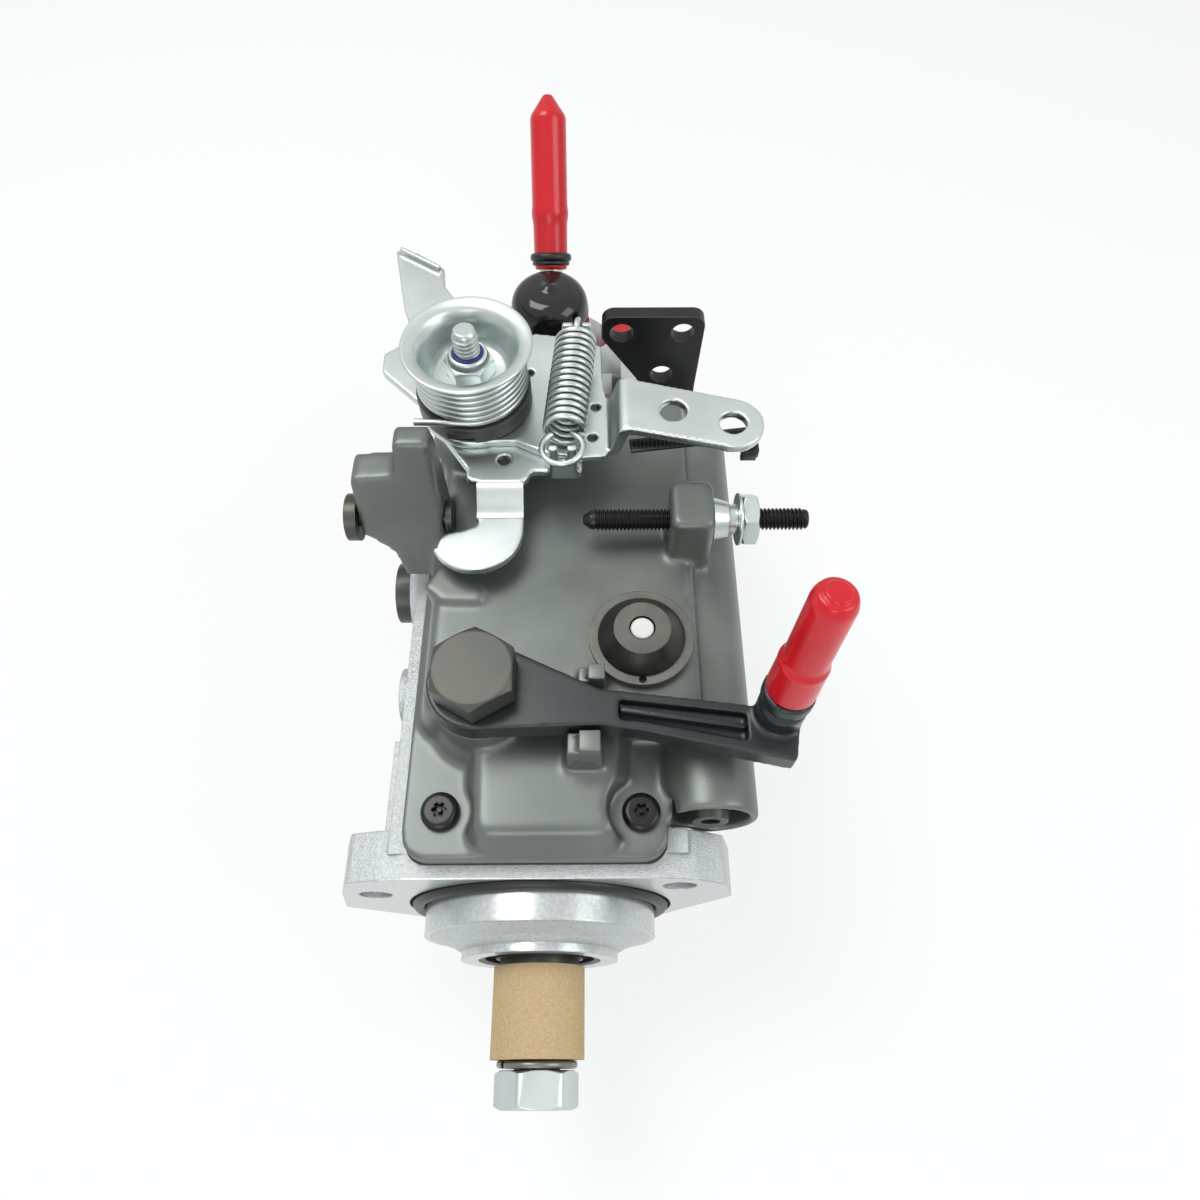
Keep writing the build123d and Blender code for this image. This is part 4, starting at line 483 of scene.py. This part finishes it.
def evaluated_mesh(thing):
    """Mesh of an object with its modifiers or its bevel worked out. The object itself is removed."""
    graph = bpy.context.evaluated_depsgraph_get()
    mesh = bpy.data.meshes.new_from_object(thing.evaluated_get(graph))
    bpy.data.objects.remove(thing)
    return mesh


def verts_in(geom):
    """The vertices among the elements that an operator hands back."""
    return [item for item in geom if isinstance(item, bmesh.types.BMVert)]


def edges_in(geom):
    """The edges among the elements that an operator hands back."""
    return [item for item in geom if isinstance(item, bmesh.types.BMEdge)]


def pull(shape, face, way):
    """Extrude a face along a vector into a prism."""
    grown = bmesh.ops.extrude_face_region(shape, geom=[face])["geom"]
    bmesh.ops.translate(shape, vec=way, verts=verts_in(grown))


def softened(name, node_name, cell, rounds, material, body, slot, fuller=()):
    """Piece for a CAD node with every edge rounded: remeshed with cells of this size, then relaxed.

    fuller is an outline in X and Y with its lowest and highest Z, in millimetres, that is filled in first."""
    copy = nodes[node_name].data.copy()
    if fuller:
        outline, low, high = fuller
        filled = bmesh.new()
        filled.from_mesh(copy)
        base = filled.faces.new([filled.verts.new((x * MM, y * MM, low * MM)) for x, y in outline])
        pull(filled, base, (0, 0, (high - low) * MM))
        filled.faces.ensure_lookup_table()
        prism = filled.faces[-len(outline) - 2:]
        bmesh.ops.recalc_face_normals(filled, faces=prism)
        filled.to_mesh(copy)
        filled.free()
    rough = put_in_scene(name + "_rough", copy)
    remesh = rough.modifiers.new("cells", "REMESH")
    remesh.mode = "VOXEL"
    remesh.voxel_size = cell * MM
    mesh = evaluated_mesh(rough)
    shape = bmesh.new()
    shape.from_mesh(mesh)
    for _ in range(rounds):
        bmesh.ops.smooth_vert(shape, verts=shape.verts, factor=0.5, use_axis_x=True, use_axis_y=True,
                              use_axis_z=True)
    shape.to_mesh(mesh)
    shape.free()
    add_piece(name, mesh, material, body, slot, node_name, angle=180)


print("piece helpers ready")

# %% [markdown]
# ## Cover, levers and return pipe
# The cover is a casting, the levers are stamped plates, and the return pipe is moulded nylon. Small cells
# would do for all, but on the large cover they cost many faces and show nothing more, so it takes larger
# ones. The finger of the lower lever ends in a round palm, which is filled out before it is softened.

# %% Soften the cover, the levers and the return pipe
PALM_TIP = ((-28.7, 88.3), (-25.0, 85.0), (-16.0, 88.0), (-15.8, 96.2), (-18.6, 95.2), (-20.6, 94.2),
            (-23.8, 93.7), (-26.6, 92.8), (-28.3, 91.0))
PALM_LOW, PALM_HIGH = 73.0, 76.0

softened("cover_casting", "governor_cover", 0.8, 6, cover_grey, "pump", "grey_casting")
softened("upper_lever", "throttle_lever", 0.5, 5, zinc, "cable_lever", "zinc_plate")
softened("lower_lever", "stop_lever", 0.5, 5, zinc, "throttle", "zinc_plate", (PALM_TIP, PALM_LOW, PALM_HIGH))
softened("banjo_pipe", "return_pipe", 0.5, 5, black_nylon, "pump", "black_plastic")

# %% [markdown]
# ## Turned shapes
# Caps, cups and nuts are lathe work: a half outline spun about its axis. The helper takes the outline as
# radius and height in millimetres, and a frame that says where the axis stands and where it points.

# %% Lathe helper


def axis_frame(origin, direction=(0, 0, 1)):
    """Matrix that carries the Z axis to a line through origin, in millimetres, along direction."""
    turn = Vector((0, 0, 1)).rotation_difference(Vector(direction)).to_matrix().to_4x4()
    return Matrix.Translation(Vector(origin)) @ turn


def to_mesh(name, shape, place=None):
    """Merge, face outward, move into place and scale from millimetres to metres."""
    bmesh.ops.remove_doubles(shape, verts=shape.verts, dist=0.001)
    bmesh.ops.recalc_face_normals(shape, faces=shape.faces)
    if place:
        bmesh.ops.transform(shape, matrix=place, verts=shape.verts)
    bmesh.ops.scale(shape, vec=(MM, MM, MM), verts=shape.verts)
    mesh = bpy.data.meshes.new(name)
    shape.to_mesh(mesh)
    shape.free()
    return mesh


def spin_outline(shape, outline, steps=96):
    """Spin a half outline, given as radius and height, into the bmesh."""
    chain = [shape.verts.new((r, 0, z)) for r, z in outline]
    edges = [shape.edges.new(pair) for pair in zip(chain, chain[1:])]
    bmesh.ops.spin(shape, geom=chain + edges, cent=(0, 0, 0), axis=(0, 0, 1), angle=2 * pi, steps=steps,
                   use_merge=True, dvec=(0, 0, 0))


def lathe(name, outline, place, steps=96):
    """Mesh of one spun outline."""
    shape = bmesh.new()
    spin_outline(shape, outline, steps)
    return to_mesh(name, shape, place)


def rounded_outline(points, radius, steps=5):
    """Outline with its inner corners rounded by quadratic curves that reach radius back along each side."""
    result = [points[0]]
    for before, corner, after in zip(points, points[1:], points[2:]):
        here = Vector(corner)
        back = Vector(before) - here
        ahead = Vector(after) - here
        reach = min(radius, back.length * 0.5, ahead.length * 0.5)
        start = here + back.normalized() * reach
        end = here + ahead.normalized() * reach
        for n in range(steps + 1):
            t = n / steps
            result.append(tuple(start * (1 - t) ** 2 + here * (2 * t * (1 - t)) + end * t ** 2))
    return result + [points[-1]]


SHAFT_LINE = axis_frame((0, 0, 0), (0, 1, 0))
LEVER_LINE = axis_frame((-19.2, 137.5, 0))
STUD_LINE = axis_frame((0, 98.0, 75.0), (1, 0, 0))
print("levers turn about X", round(LEVER_LINE.translation.x, 1), "Y", round(LEVER_LINE.translation.y, 1))

# %% [markdown]
# ## Vinyl caps, spring cup and solenoid hood
# Red vinyl caps keep dirt out of the fuel inlet and the return pipe, and a black one covers the solenoid.
# The steel cup opens upward and carries the torsion spring round its wall. Rings of faces could be stacked
# to make them, but each is one outline with rounded corners, which is easy to read and to change. The long
# cap leans back with the inlet, and the short one leans with the elbow of the pipe.

# %% Vinyl caps, spring cup and solenoid hood
inlet_tilt = radians(41)
inlet_foot = Vector((1.2, 225.71, 59.40))
INLET_LINE = axis_frame(inlet_foot, (0, sin(inlet_tilt), cos(inlet_tilt)))
long_outline = rounded_outline(
    [(4.5, 0), (6.1, 0), (6.35, 4.0), (6.45, 16.5), (6.95, 19.0), (6.95, 20.5), (6.65, 23.0), (6.6, 52.5),
     (1.5, 59.6), (0, 59.6)], 1.4)
add_piece("long_red_cap", lathe("long_red_cap", long_outline, INLET_LINE), red_vinyl, "pump", "red_vinyl",
          "inlet_cap")

return_lean = Vector((0.0680, 0.1060, 0.9920))
RETURN_LINE = axis_frame(Vector((66.7, 36.3, 82.0)) + return_lean * 7.0, return_lean)
short_outline = rounded_outline(
    [(4.1, 0), (6.7, 0), (6.45, 11.5), (6.6, 13.2), (5.75, 15.0), (5.6, 38.5), (4.6, 41.0), (3.3, 41.3),
     (3.0, 41.9), (0, 41.9)], 1.2)
add_piece("short_red_cap", lathe("short_red_cap", short_outline, RETURN_LINE), red_vinyl, "pump", "red_vinyl",
          "return_pipe_cap")

SOLENOID_LINE = axis_frame((1.3, 203.0, 0))
hood_outline = rounded_outline(
    [(12.9, 44.6), (14.7, 44.6), (14.7, 55.0), (14.1, 57.5), (14.6, 60.5), (13.6, 66.5), (9.5, 70.2),
     (3.2, 70.6), (1.3, 71.8), (0, 71.9)], 3.0, 7)
add_piece("solenoid_hood", lathe("solenoid_hood", hood_outline, SOLENOID_LINE), black_vinyl, "pump",
          "black_vinyl", "solenoid_cap")

cup_outline = rounded_outline(
    [(4.0, 90.3), (13.6, 90.3), (14.6, 91.4), (14.6, 104.9), (18.6, 106.3), (19.5, 107.1), (19.1, 108.0),
     (17.4, 107.8), (15.3, 106.9), (13.6, 104.2), (12.2, 98.0), (10.6, 96.0), (4.0, 96.0)], 1.0)
add_piece("spring_dish", lathe("spring_dish", cup_outline, LEVER_LINE, 128), zinc, "throttle", "zinc_plate",
          "spring_cup")

# %% [markdown]
# ## Threads
# The stop stud and the lever shaft are threaded, and both threads are in plain view. Bump would do from
# afar, but the edge of a bright thread has to show its teeth. A thread is one zigzag line turned once round
# its axis while it climbs by one pitch, so each tooth meets the next one after a full turn.
# `bmesh.ops.spin` does both at once: `angle` turns it and `dvec` lifts it. A plain core runs inside the
# teeth and ends in a blunt tip.

# %% Thread helper
TURN_STEPS = 40


def threaded_rod(shape, radius, pitch, low, high):
    """Threaded stretch of a rod with its crest at radius, and a chamfered tip at its high end."""
    root = radius - 0.6 * pitch
    count = int((high - low) / pitch)
    tip = low + count * pitch
    line = []
    for n in range(count):
        z = low + n * pitch
        line += [(root, z), (root, z + 0.12 * pitch), (radius, z + 0.46 * pitch), (radius, z + 0.6 * pitch)]
    line.append((root, tip))
    chain = []
    for r, z in line:
        taper = min(1.0, 0.84 + 0.16 * (tip - z) / (1.2 * pitch))
        chain.append(shape.verts.new((max(root * 0.8, r * taper), 0, z)))
    edges = [shape.edges.new(pair) for pair in zip(chain, chain[1:])]
    bmesh.ops.spin(shape, geom=chain + edges, cent=(0, 0, 0), axis=(0, 0, 1), angle=2 * pi, steps=TURN_STEPS,
                   use_merge=False, dvec=(0, 0, pitch / TURN_STEPS))
    core = root + 0.02
    spin_outline(shape, [(0, low), (core, low), (core, tip), (root * 1.1, tip + 0.2 * pitch),
                         (root * 1.08, tip + 0.7 * pitch), (root * 0.92, tip + pitch), (0, tip + pitch)],
                 TURN_STEPS)


def add_block(shape, size, place):
    """Block of this size, centred in a frame. Its vertices are handed back."""
    return bmesh.ops.create_cube(shape, size=1.0, matrix=place @ Matrix.Diagonal((*size, 1)))["verts"]


print("thread helper ready")

# %% [markdown]
# ## Stop stud and lever shaft
# The stud is threaded almost from end to end and has a short cone that meets the lever. The shaft carries
# the levers and the cup, its thread takes the lever nut, and a bar at its foot pulls the governor spring
# inside. Each is one bmesh of a threaded stretch and a spun outline. They could be joined with a boolean,
# but nobody sees where two round shapes overlap, so they are left to overlap.

# %% Stop stud and lever shaft
stud_shape = bmesh.new()
threaded_rod(stud_shape, radius=3.3, pitch=1.15, low=17.2, high=80.8)
stud_cone = rounded_outline([(0, 14.3), (1.3, 14.3), (2.9, 16.6), (2.9, 18.0)], 0.5)
spin_outline(stud_shape, stud_cone, TURN_STEPS)
add_piece("stop_stud", to_mesh("stop_stud", stud_shape, STUD_LINE), deep_black, "pump", "black_oxide",
          "max_stop_stud", angle=30)

shaft_shape = bmesh.new()
threaded_rod(shaft_shape, radius=3.85, pitch=1.5, low=101.0, high=111.6)
shaft_steps = [(0, 53.1), (5.95, 53.1), (5.95, 78.0), (5.0, 78.0), (5.0, 90.2), (3.8, 90.2), (3.8, 101.5),
               (0, 101.5)]
spin_outline(shaft_shape, shaft_steps, 48)
add_block(shaft_shape, (14.5, 6, 4), Matrix.Translation((4.25, 0, 55.1)))
add_piece("lever_shaft", to_mesh("lever_shaft", shaft_shape, LEVER_LINE), zinc, "throttle", "zinc_plate",
          "throttle_shaft", angle=30)

# %% [markdown]
# ## Wire
# Both springs are round wire. A circle could be spun along a helix, but the ends of a spring leave the
# helix. So the wire follows a line of points: a curve object with a bevel gives its thickness, and it is
# turned into a mesh at once, to be handed on like the other pieces.

# %% Wire helpers
WIRE_ROUNDNESS = 4


def wire(name, points, radius):
    """Mesh of a round wire along points in millimetres, with closed ends."""
    curve = bpy.data.curves.new(name, "CURVE")
    curve.dimensions = "3D"
    curve.bevel_depth = radius * MM
    curve.bevel_resolution = WIRE_ROUNDNESS
    curve.use_fill_caps = True
    line = curve.splines.new("POLY")
    line.points.add(len(points) - 1)
    for target, point in zip(line.points, points):
        target.co = (*(Vector(point) * MM), 1)
    line.use_smooth = True
    mesh = evaluated_mesh(put_in_scene(name + "_line", curve))
    mesh.name = name
    return mesh


def helix(place, radius, start_angle, turns, low, high, per_turn):
    """Points of a helix about the Z axis of a frame, from low to high. Negative turns run clockwise."""
    count = int(abs(turns) * per_turn)
    points = []
    for n in range(count + 1):
        t = n / count
        angle = start_angle + 2 * pi * turns * t
        points.append(place @ Vector((radius * cos(angle), radius * sin(angle), low + (high - low) * t)))
    return points


print("wire helpers ready")

# %% [markdown]
# ## Torsion spring
# This spring turns the levers back to idle. Its coils lie close together round the cup, and its last leg
# runs off to the left, behind the stop block. A finished coil could be bent open at its end, but a helix
# with a short straight run added is simpler.

# %% Torsion spring
TORSION_WIRE = 1.12
TORSION_START = radians(-54)
torsion_points = helix(LEVER_LINE, radius=15.9, start_angle=TORSION_START, turns=-6.1, low=104.9, high=91.4,
                       per_turn=48)
leg_start = torsion_points[-1]
leg_run = Vector((-16.5, 0.6, -0.1))
torsion_points += [leg_start + leg_run * t for t in (0.1, 0.4, 0.7, 1.0)]
add_piece("torsion_coil", wire("torsion_coil", torsion_points, TORSION_WIRE), zinc, "throttle", "zinc_plate",
          "torsion_spring", angle=60)

# %% [markdown]
# ## Tension spring
# This spring ties the two levers together, so that the cable can pull on past the stop. It has a tight
# body, a wide loop laid flat round the front tab, and a small hook over the rear tab. All three are points
# on circles, joined in one line, so the wire runs through without a seam.

# %% Tension spring
TENSION_WIRE = 0.95
BODY_INSET = 4.6
LOOP_RADIUS = 6.0
HOOK_RADIUS = 3.6
spring_front = Vector((8.4, 113.4, 91.0))
spring_rear = Vector((12.6, 158.0, 93.2))
spring_run = spring_rear - spring_front
body_points = helix(axis_frame(spring_front, spring_run.normalized()), radius=5.6, start_angle=0.0, turns=15,
                    low=BODY_INSET, high=spring_run.length - BODY_INSET, per_turn=36)
loop_middle = spring_front + Vector((0, -0.9, 0.1))
loop_points = [loop_middle + Vector((LOOP_RADIUS * cos(a), LOOP_RADIUS * sin(a), 0.35 * cos(a)))
               for a in [radians(60 - 12 * n) for n in range(26)]]
hook_middle = spring_rear + Vector((0, -1.0, 0))
hook_points = [hook_middle + Vector((0.4 * cos(a), HOOK_RADIUS * cos(a), HOOK_RADIUS * sin(a)))
               for a in [radians(180 - 15 * n) for n in range(15)]]
tension_points = loop_points[::-1] + body_points + hook_points
add_piece("tension_coil", wire("tension_coil", tension_points, TENSION_WIRE), zinc, "throttle", "zinc_plate",
          "tension_spring", angle=60)

# %% [markdown]
# ## Nuts
# A nut is a hexagonal prism whose corners are turned off by a cone on the lathe, which leaves curved edges
# on its flats. A bevel on the corners would leave straight ones. Here the prism is cut into thin slices
# near its ends, and every point that stands outside the cone is pulled in to it, as the tool would do. A
# round hole with a small chamfer closes both ends.

# %% Nut helper
CHAMFER_DEPTH = 0.9
CHAMFER_SLICES = 6
SIDE_CUTS = 15
CONE_INSET = 0.15
CONE_SLOPE = 1.75
END_INSET = 0.13
HOLE_CHAMFER = 0.7


def chamfered_hex(shape, across, low, high, turn):
    """Open hexagonal prism with its corners turned down by a cone at both ends."""
    place = Matrix.Translation((0, 0, low)) @ Matrix.Rotation(turn, 4, "Z")
    made = bmesh.ops.create_circle(shape, cap_ends=False, radius=across / sqrt(3), segments=6, matrix=place)
    rim = list(dict.fromkeys(edge for vert in made["verts"] for edge in vert.link_edges))
    rim = edges_in(bmesh.ops.subdivide_edges(shape, edges=rim, cuts=SIDE_CUTS)["geom"])
    slices = [CHAMFER_DEPTH * n / CHAMFER_SLICES for n in range(CHAMFER_SLICES + 1)]
    levels = [low + depth for depth in slices] + [high - depth for depth in reversed(slices)]
    wall = list(rim)
    for below, above in zip(levels, levels[1:]):
        grown = bmesh.ops.extrude_edge_only(shape, edges=rim)["geom"]
        lifted = set(verts_in(grown))
        bmesh.ops.translate(shape, verts=list(lifted), vec=(0, 0, above - below))
        rim = [edge for edge in edges_in(grown) if lifted.issuperset(edge.verts)]
        wall += rim
    for vert in {vert for edge in wall for vert in edge.verts}:
        from_end = max(0.0, min(vert.co.z - low, high - vert.co.z))
        allowed = across / 2 - CONE_INSET + from_end * CONE_SLOPE
        reach = vert.co.xy.length
        if reach > allowed:
            vert.co.xy *= allowed / reach


def hex_nut(name, across, low, high, hole, place, turn, collar=()):
    """Nut with both ends chamfered and a round hole, and with a spun collar if an outline is given."""
    shape = bmesh.new()
    chamfered_hex(shape, across, low, high, turn)
    rim = across / 2 - END_INSET
    wide_hole = hole + HOLE_CHAMFER
    spin_outline(shape, [(rim, low), (wide_hole, low), (hole, low + HOLE_CHAMFER),
                         (hole, high - HOLE_CHAMFER), (wide_hole, high), (rim, high)])
    if collar:
        spin_outline(shape, collar, 64)
    return to_mesh(name, shape, place)


nut_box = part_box("shaft_nut")
print("box of the shaft nut in mm", [round(v / MM, 1) for v in (*nut_box[0], *nut_box[1])])

# %% [markdown]
# ## Nuts of the lever, the shaft and the stop stud
# The lever nut has a raised collar that grips a blue locking ring. The shaft nut is the large one at the
# drive end, and the stud's nut has a flange that bears on its sealing sleeve. One helper with a size, a
# height and a turn serves all three, so that they look like nuts from one box.

# %% Nuts of the lever, the shaft and the stop stud
lock_collar = rounded_outline(
    [(6.1, 101.2), (6.1, 102.6), (5.7, 104.0), (4.9, 104.4), (4.5, 104.0), (4.5, 101.2)], 0.5)
lock_nut = hex_nut("lock_nut", across=13.0, low=96.0, high=101.8, hole=3.7, place=LEVER_LINE,
                   turn=radians(30), collar=lock_collar)
add_piece("lock_nut", lock_nut, zinc, "throttle", "zinc_plate", "lever_nut", angle=30)
ring_outline = [(3.6, 103.6), (4.7, 103.6), (4.6, 104.5), (4.2, 104.8), (3.6, 104.8), (3.6, 103.6)]
add_piece("lock_ring", lathe("lock_ring", ring_outline, LEVER_LINE, 64), blue_nylon, "throttle",
          "black_plastic", angle=30)

turned_nut = hex_nut("turned_nut", across=22.0, low=-56.3, high=-46.25, hole=6.95, place=SHAFT_LINE,
                     turn=radians(39.5))
add_piece("turned_nut", turned_nut, zinc, "drive", "zinc_plate", "shaft_nut", angle=30)

flange = rounded_outline([(3.5, 60.25), (7.9, 60.25), (7.9, 61.3), (6.9, 61.7), (3.5, 61.7)], 0.5)
flanged_nut = hex_nut("flanged_nut", across=14.0, low=61.4, high=66.2, hole=3.35, place=STUD_LINE,
                      turn=radians(12), collar=flange)
add_piece("flanged_nut", flanged_nut, zinc, "pump", "zinc_plate", "stop_stud_nut", angle=30)

# %% [markdown]
# ## Disc in the cone cap
# A small white disc closes the hole in the top of the dark conical cap. It could be painted on as a spot,
# but a turned disc with a small chamfer catches the light at its rim.

# %% White disc in the cone cap
disc_outline = [(0, 73.0), (3.3, 73.0), (3.3, 73.8), (3.0, 74.1), (0, 74.1)]
add_piece("cap_disc", lathe("cap_disc", disc_outline, axis_frame((31.1, 62.0, 0)), 48), white_nylon, "pump",
          "black_plastic", angle=30)

# %% [markdown]
# ## Split washer
# The spring washer behind the shaft nut is a bar bent into a ring with a gap. A whole ring could be cut,
# but the real one is also twisted a little. So a rounded section sweeps almost once round the shaft, climbs
# on the way and is closed at both ends of its gap.

# %% Split washer
WASHER_SWEEP = radians(352)
WASHER_STEPS = 90
WASHER_RISE = 0.0028
WASHER_GAP_TURN = radians(-140)
washer_shape = bmesh.new()
section = rounded_outline(
    [(8.4, -45.0), (8.4, -46.0), (12.0, -46.0), (12.0, -43.9), (8.4, -43.9), (8.4, -45.0)], 1.2)
chain = [washer_shape.verts.new((r, 0, z)) for r, z in section[:-1]]
loop = [washer_shape.edges.new(pair) for pair in zip(chain, chain[1:] + chain[:1])]
bmesh.ops.spin(washer_shape, geom=chain + loop, cent=(0, 0, 0), axis=(0, 0, 1), angle=WASHER_SWEEP,
               steps=WASHER_STEPS, use_merge=False, dvec=(0, 0, WASHER_RISE))
bmesh.ops.holes_fill(washer_shape, edges=[edge for edge in washer_shape.edges if edge.is_boundary], sides=0)
bmesh.ops.rotate(washer_shape, cent=(0, 0, 0), matrix=Matrix.Rotation(WASHER_GAP_TURN, 3, "Z"),
                 verts=washer_shape.verts)
add_piece("split_washer", to_mesh("split_washer", washer_shape, SHAFT_LINE), split_steel, "drive", "steel",
          "spring_washer", angle=40)

# %% [markdown]
# ## Seal ring and inlet ring
# The seal round the pilot is a plain round cord, and the ring under the long cap is a soft black moulding
# with a waist. A torus would do for the first one, but both are closed outlines for the lathe, so the same
# helper makes them.

# %% Seal ring and inlet ring
SEAL_RADIUS = 38.3
SEAL_CORD = 2.15
SEAL_HEIGHT = 0.1
cord = [(SEAL_RADIUS + SEAL_CORD * cos(a), SEAL_HEIGHT + SEAL_CORD * sin(a))
        for a in [2 * pi * n / 20 for n in range(21)]]
add_piece("round_seal", lathe("round_seal", cord, SHAFT_LINE, 128), rubber, "pump", "rubber",
          "flange_seal_ring")
grommet = rounded_outline([(6.1, 1.5), (6.9, 1.5), (7.2, 2.2), (6.9, 3.0), (7.6, 3.2), (8.0, 4.4), (7.6, 5.6),
                           (6.7, 6.0), (6.1, 6.0)], 0.7)
add_piece("cap_grommet", lathe("cap_grommet", grommet + grommet[:1], INLET_LINE), rubber, "pump", "rubber",
          "inlet_ring")

# %% [markdown]
# ## Pegs of the cover
# Two stepped pegs keep the return pipe in its place. In the softened cover they come out blurred, because
# they are only about ten cells wide, so they are made again with crisp edges. Each is a low block and a
# higher one behind a notch, and both widen a little towards the foot, as cast pegs do.

# %% Locating pegs of the cover
PEG_FOOT = 50.5
PEG_TOPS = 72.1, 74.5
PEG_DRAFT = 0.006
PEG_SPARE = 0.3


def round_edges(shape, offset, segments):
    """Round every edge of the bmesh."""
    bmesh.ops.bevel(shape, geom=list(shape.edges), offset=offset, segments=segments, profile=0.5,
                    affect="EDGES", material=-1)


pegs = bmesh.new()
for left, right, front, rear, notch in ((10.5, 19.0, 26.2, 31.6, 13.6), (13.3, 20.3, 46.6, 50.8, 16.0)):
    centre_x, centre_y = (left + right) / 2, (front + rear) / 2
    for low_x, top in zip((left, notch), PEG_TOPS):
        size = (right - low_x + PEG_SPARE, rear - front + PEG_SPARE, top - PEG_FOOT)
        middle = ((low_x + right) / 2, centre_y, (top + PEG_FOOT) / 2)
        for vert in add_block(pegs, size, Matrix.Translation(middle)):
            widen = 1.0 + PEG_DRAFT * (top - vert.co.z)
            vert.co.x = centre_x + (vert.co.x - centre_x) * widen
            vert.co.y = centre_y + (vert.co.y - centre_y) * widen
round_edges(pegs, 0.45, 3)
add_piece("locating_pegs", to_mesh("locating_pegs", pegs), peg_grey, "pump", "grey_casting", angle=40)

# %% [markdown]
# ## Ridge in the return pipe
# A thin rib runs along the recess on top of the pipe's arm and stiffens it. It is too thin for the cells of
# the softened pipe, so it is a narrow block of its own with rounded edges.

# %% Ridge in the pipe's recess
RIDGE_Z = 72.9
ridge_start = Vector((24.5, 37.6, RIDGE_Z))
ridge_end = Vector((57.5, 32.6, RIDGE_Z))
ridge_run = ridge_end - ridge_start
ridge_turn = ridge_run.to_track_quat("X", "Z").to_matrix().to_4x4()
ridge = bmesh.new()
add_block(ridge, (ridge_run.length, 1.5, 3.4), Matrix.Translation((ridge_start + ridge_end) / 2) @ ridge_turn)
round_edges(ridge, 0.4, 3)
add_piece("pipe_ridge", to_mesh("pipe_ridge", ridge), black_nylon, "pump", "black_plastic", angle=40)
pipe_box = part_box("return_pipe")
print("box of the pipe in mm", [round(v / MM, 1) for v in (*pipe_box[0], *pipe_box[1])])

# %% [markdown]
# ## Bend of the lower lever
# The finger leaves the plate in a soft S bend, as pressed steel does. The softened lever has a steep step
# there, so a bright skin is laid over it. It could be a row of flat strips, but half a cosine wave starts
# and ends level, and it is drawn out to the width of the finger.

# %% Soft bend of the stop lever
BEND_LEFT, BEND_WIDTH = -17.5, 14.0
BEND_REAR, BEND_RUN = 107.8, 9.8
BEND_MIDDLE, BEND_RISE = 78.55, 2.5
BEND_STEPS = 16
bend = bmesh.new()
wave = [(BEND_REAR - BEND_RUN * n / BEND_STEPS, BEND_MIDDLE + BEND_RISE * cos(pi * n / BEND_STEPS))
        for n in range(BEND_STEPS + 1)]
under = (103.0, 74.5)
side_face = bend.faces.new([bend.verts.new((BEND_LEFT, y, z)) for y, z in wave + [under]])
pull(bend, side_face, (BEND_WIDTH, 0, 0))
add_piece("lever_bend", to_mesh("lever_bend", bend), zinc, "throttle", "zinc_plate", angle=40)

# %% [markdown]
# ## Strap under the lever's arm
# A black nylon strap with small teeth runs below the cable arm, and ends in a block and a stop. The teeth
# could be bump, but their outline shows along the strap's edge. They are thirty small blocks placed by a
# loop, and one bevel rounds them all.

# %% Cable tie under the lever's arm
TEETH = 30
tie = bmesh.new()
tie_start = Vector((28.5, 117.0, 86.0))
tie_run = Vector((35.5, 4.6, 0))
tie_turn = tie_run.to_track_quat("X", "Z").to_matrix().to_4x4()
add_block(tie, (tie_run.length, 4.6, 1.1), Matrix.Translation(tie_start + tie_run / 2) @ tie_turn)
for n in range(TEETH):
    tooth = tie_start + tie_run * ((n + 0.5) / TEETH) + Vector((0, 0, 0.75))
    add_block(tie, (0.55, 3.4, 0.6), Matrix.Translation(tooth) @ tie_turn)
for middle, size in (((65.6, 118.4, 86.2), (2.2, 9.4, 3.4)), ((63.9, 114.4, 85.4), (4.6, 1.8, 4.2))):
    add_block(tie, size, Matrix.Translation(middle))
round_edges(tie, 0.15, 2)
add_piece("cable_tie", to_mesh("cable_tie", tie), black_nylon, "cable_lever", "black_plastic", angle=40)

# %% [markdown]
# ## Caps of the outlet fittings
# Four soft red caps with round ends cover the high pressure outlets, which stand at the corners of a square
# round the shaft's axis. They could be four objects, but they never move apart. So one outline is spun four
# times into the same bmesh, and each copy is carried to its own corner.

# %% Caps of the outlet fittings
OUTLET_OFFSET = 28.2
outlet_outline = rounded_outline([(6.1, 212.2), (8.1, 212.2), (8.1, 214.5), (7.7, 216.0), (7.6, 229.5),
                                  (5.2, 233.4), (1.6, 233.8), (1.2, 234.1), (0, 234.1)], 2.0)
outlet_caps = bmesh.new()
for side_x, side_z in ((1, 1), (-1, 1), (-1, -1), (1, -1)):
    before = set(outlet_caps.verts)
    spin_outline(outlet_caps, outlet_outline, 64)
    made = [vert for vert in outlet_caps.verts if vert not in before]
    outlet_line = axis_frame((OUTLET_OFFSET * side_x, 0, OUTLET_OFFSET * side_z), (0, 1, 0))
    bmesh.ops.transform(outlet_caps, matrix=outlet_line, verts=made)
add_piece("outlet_hoods", to_mesh("outlet_hoods", outlet_caps), red_vinyl, "pump", "red_vinyl", "outlet_caps")

# %% [markdown]
# ## Size of the CAD model
# The box of the CAD model is printed in millimetres.

# %% Sizes and the end
print("CAD box in mm", [round(v / MM, 1) for v in (*cad_box[0], *cad_box[1])])
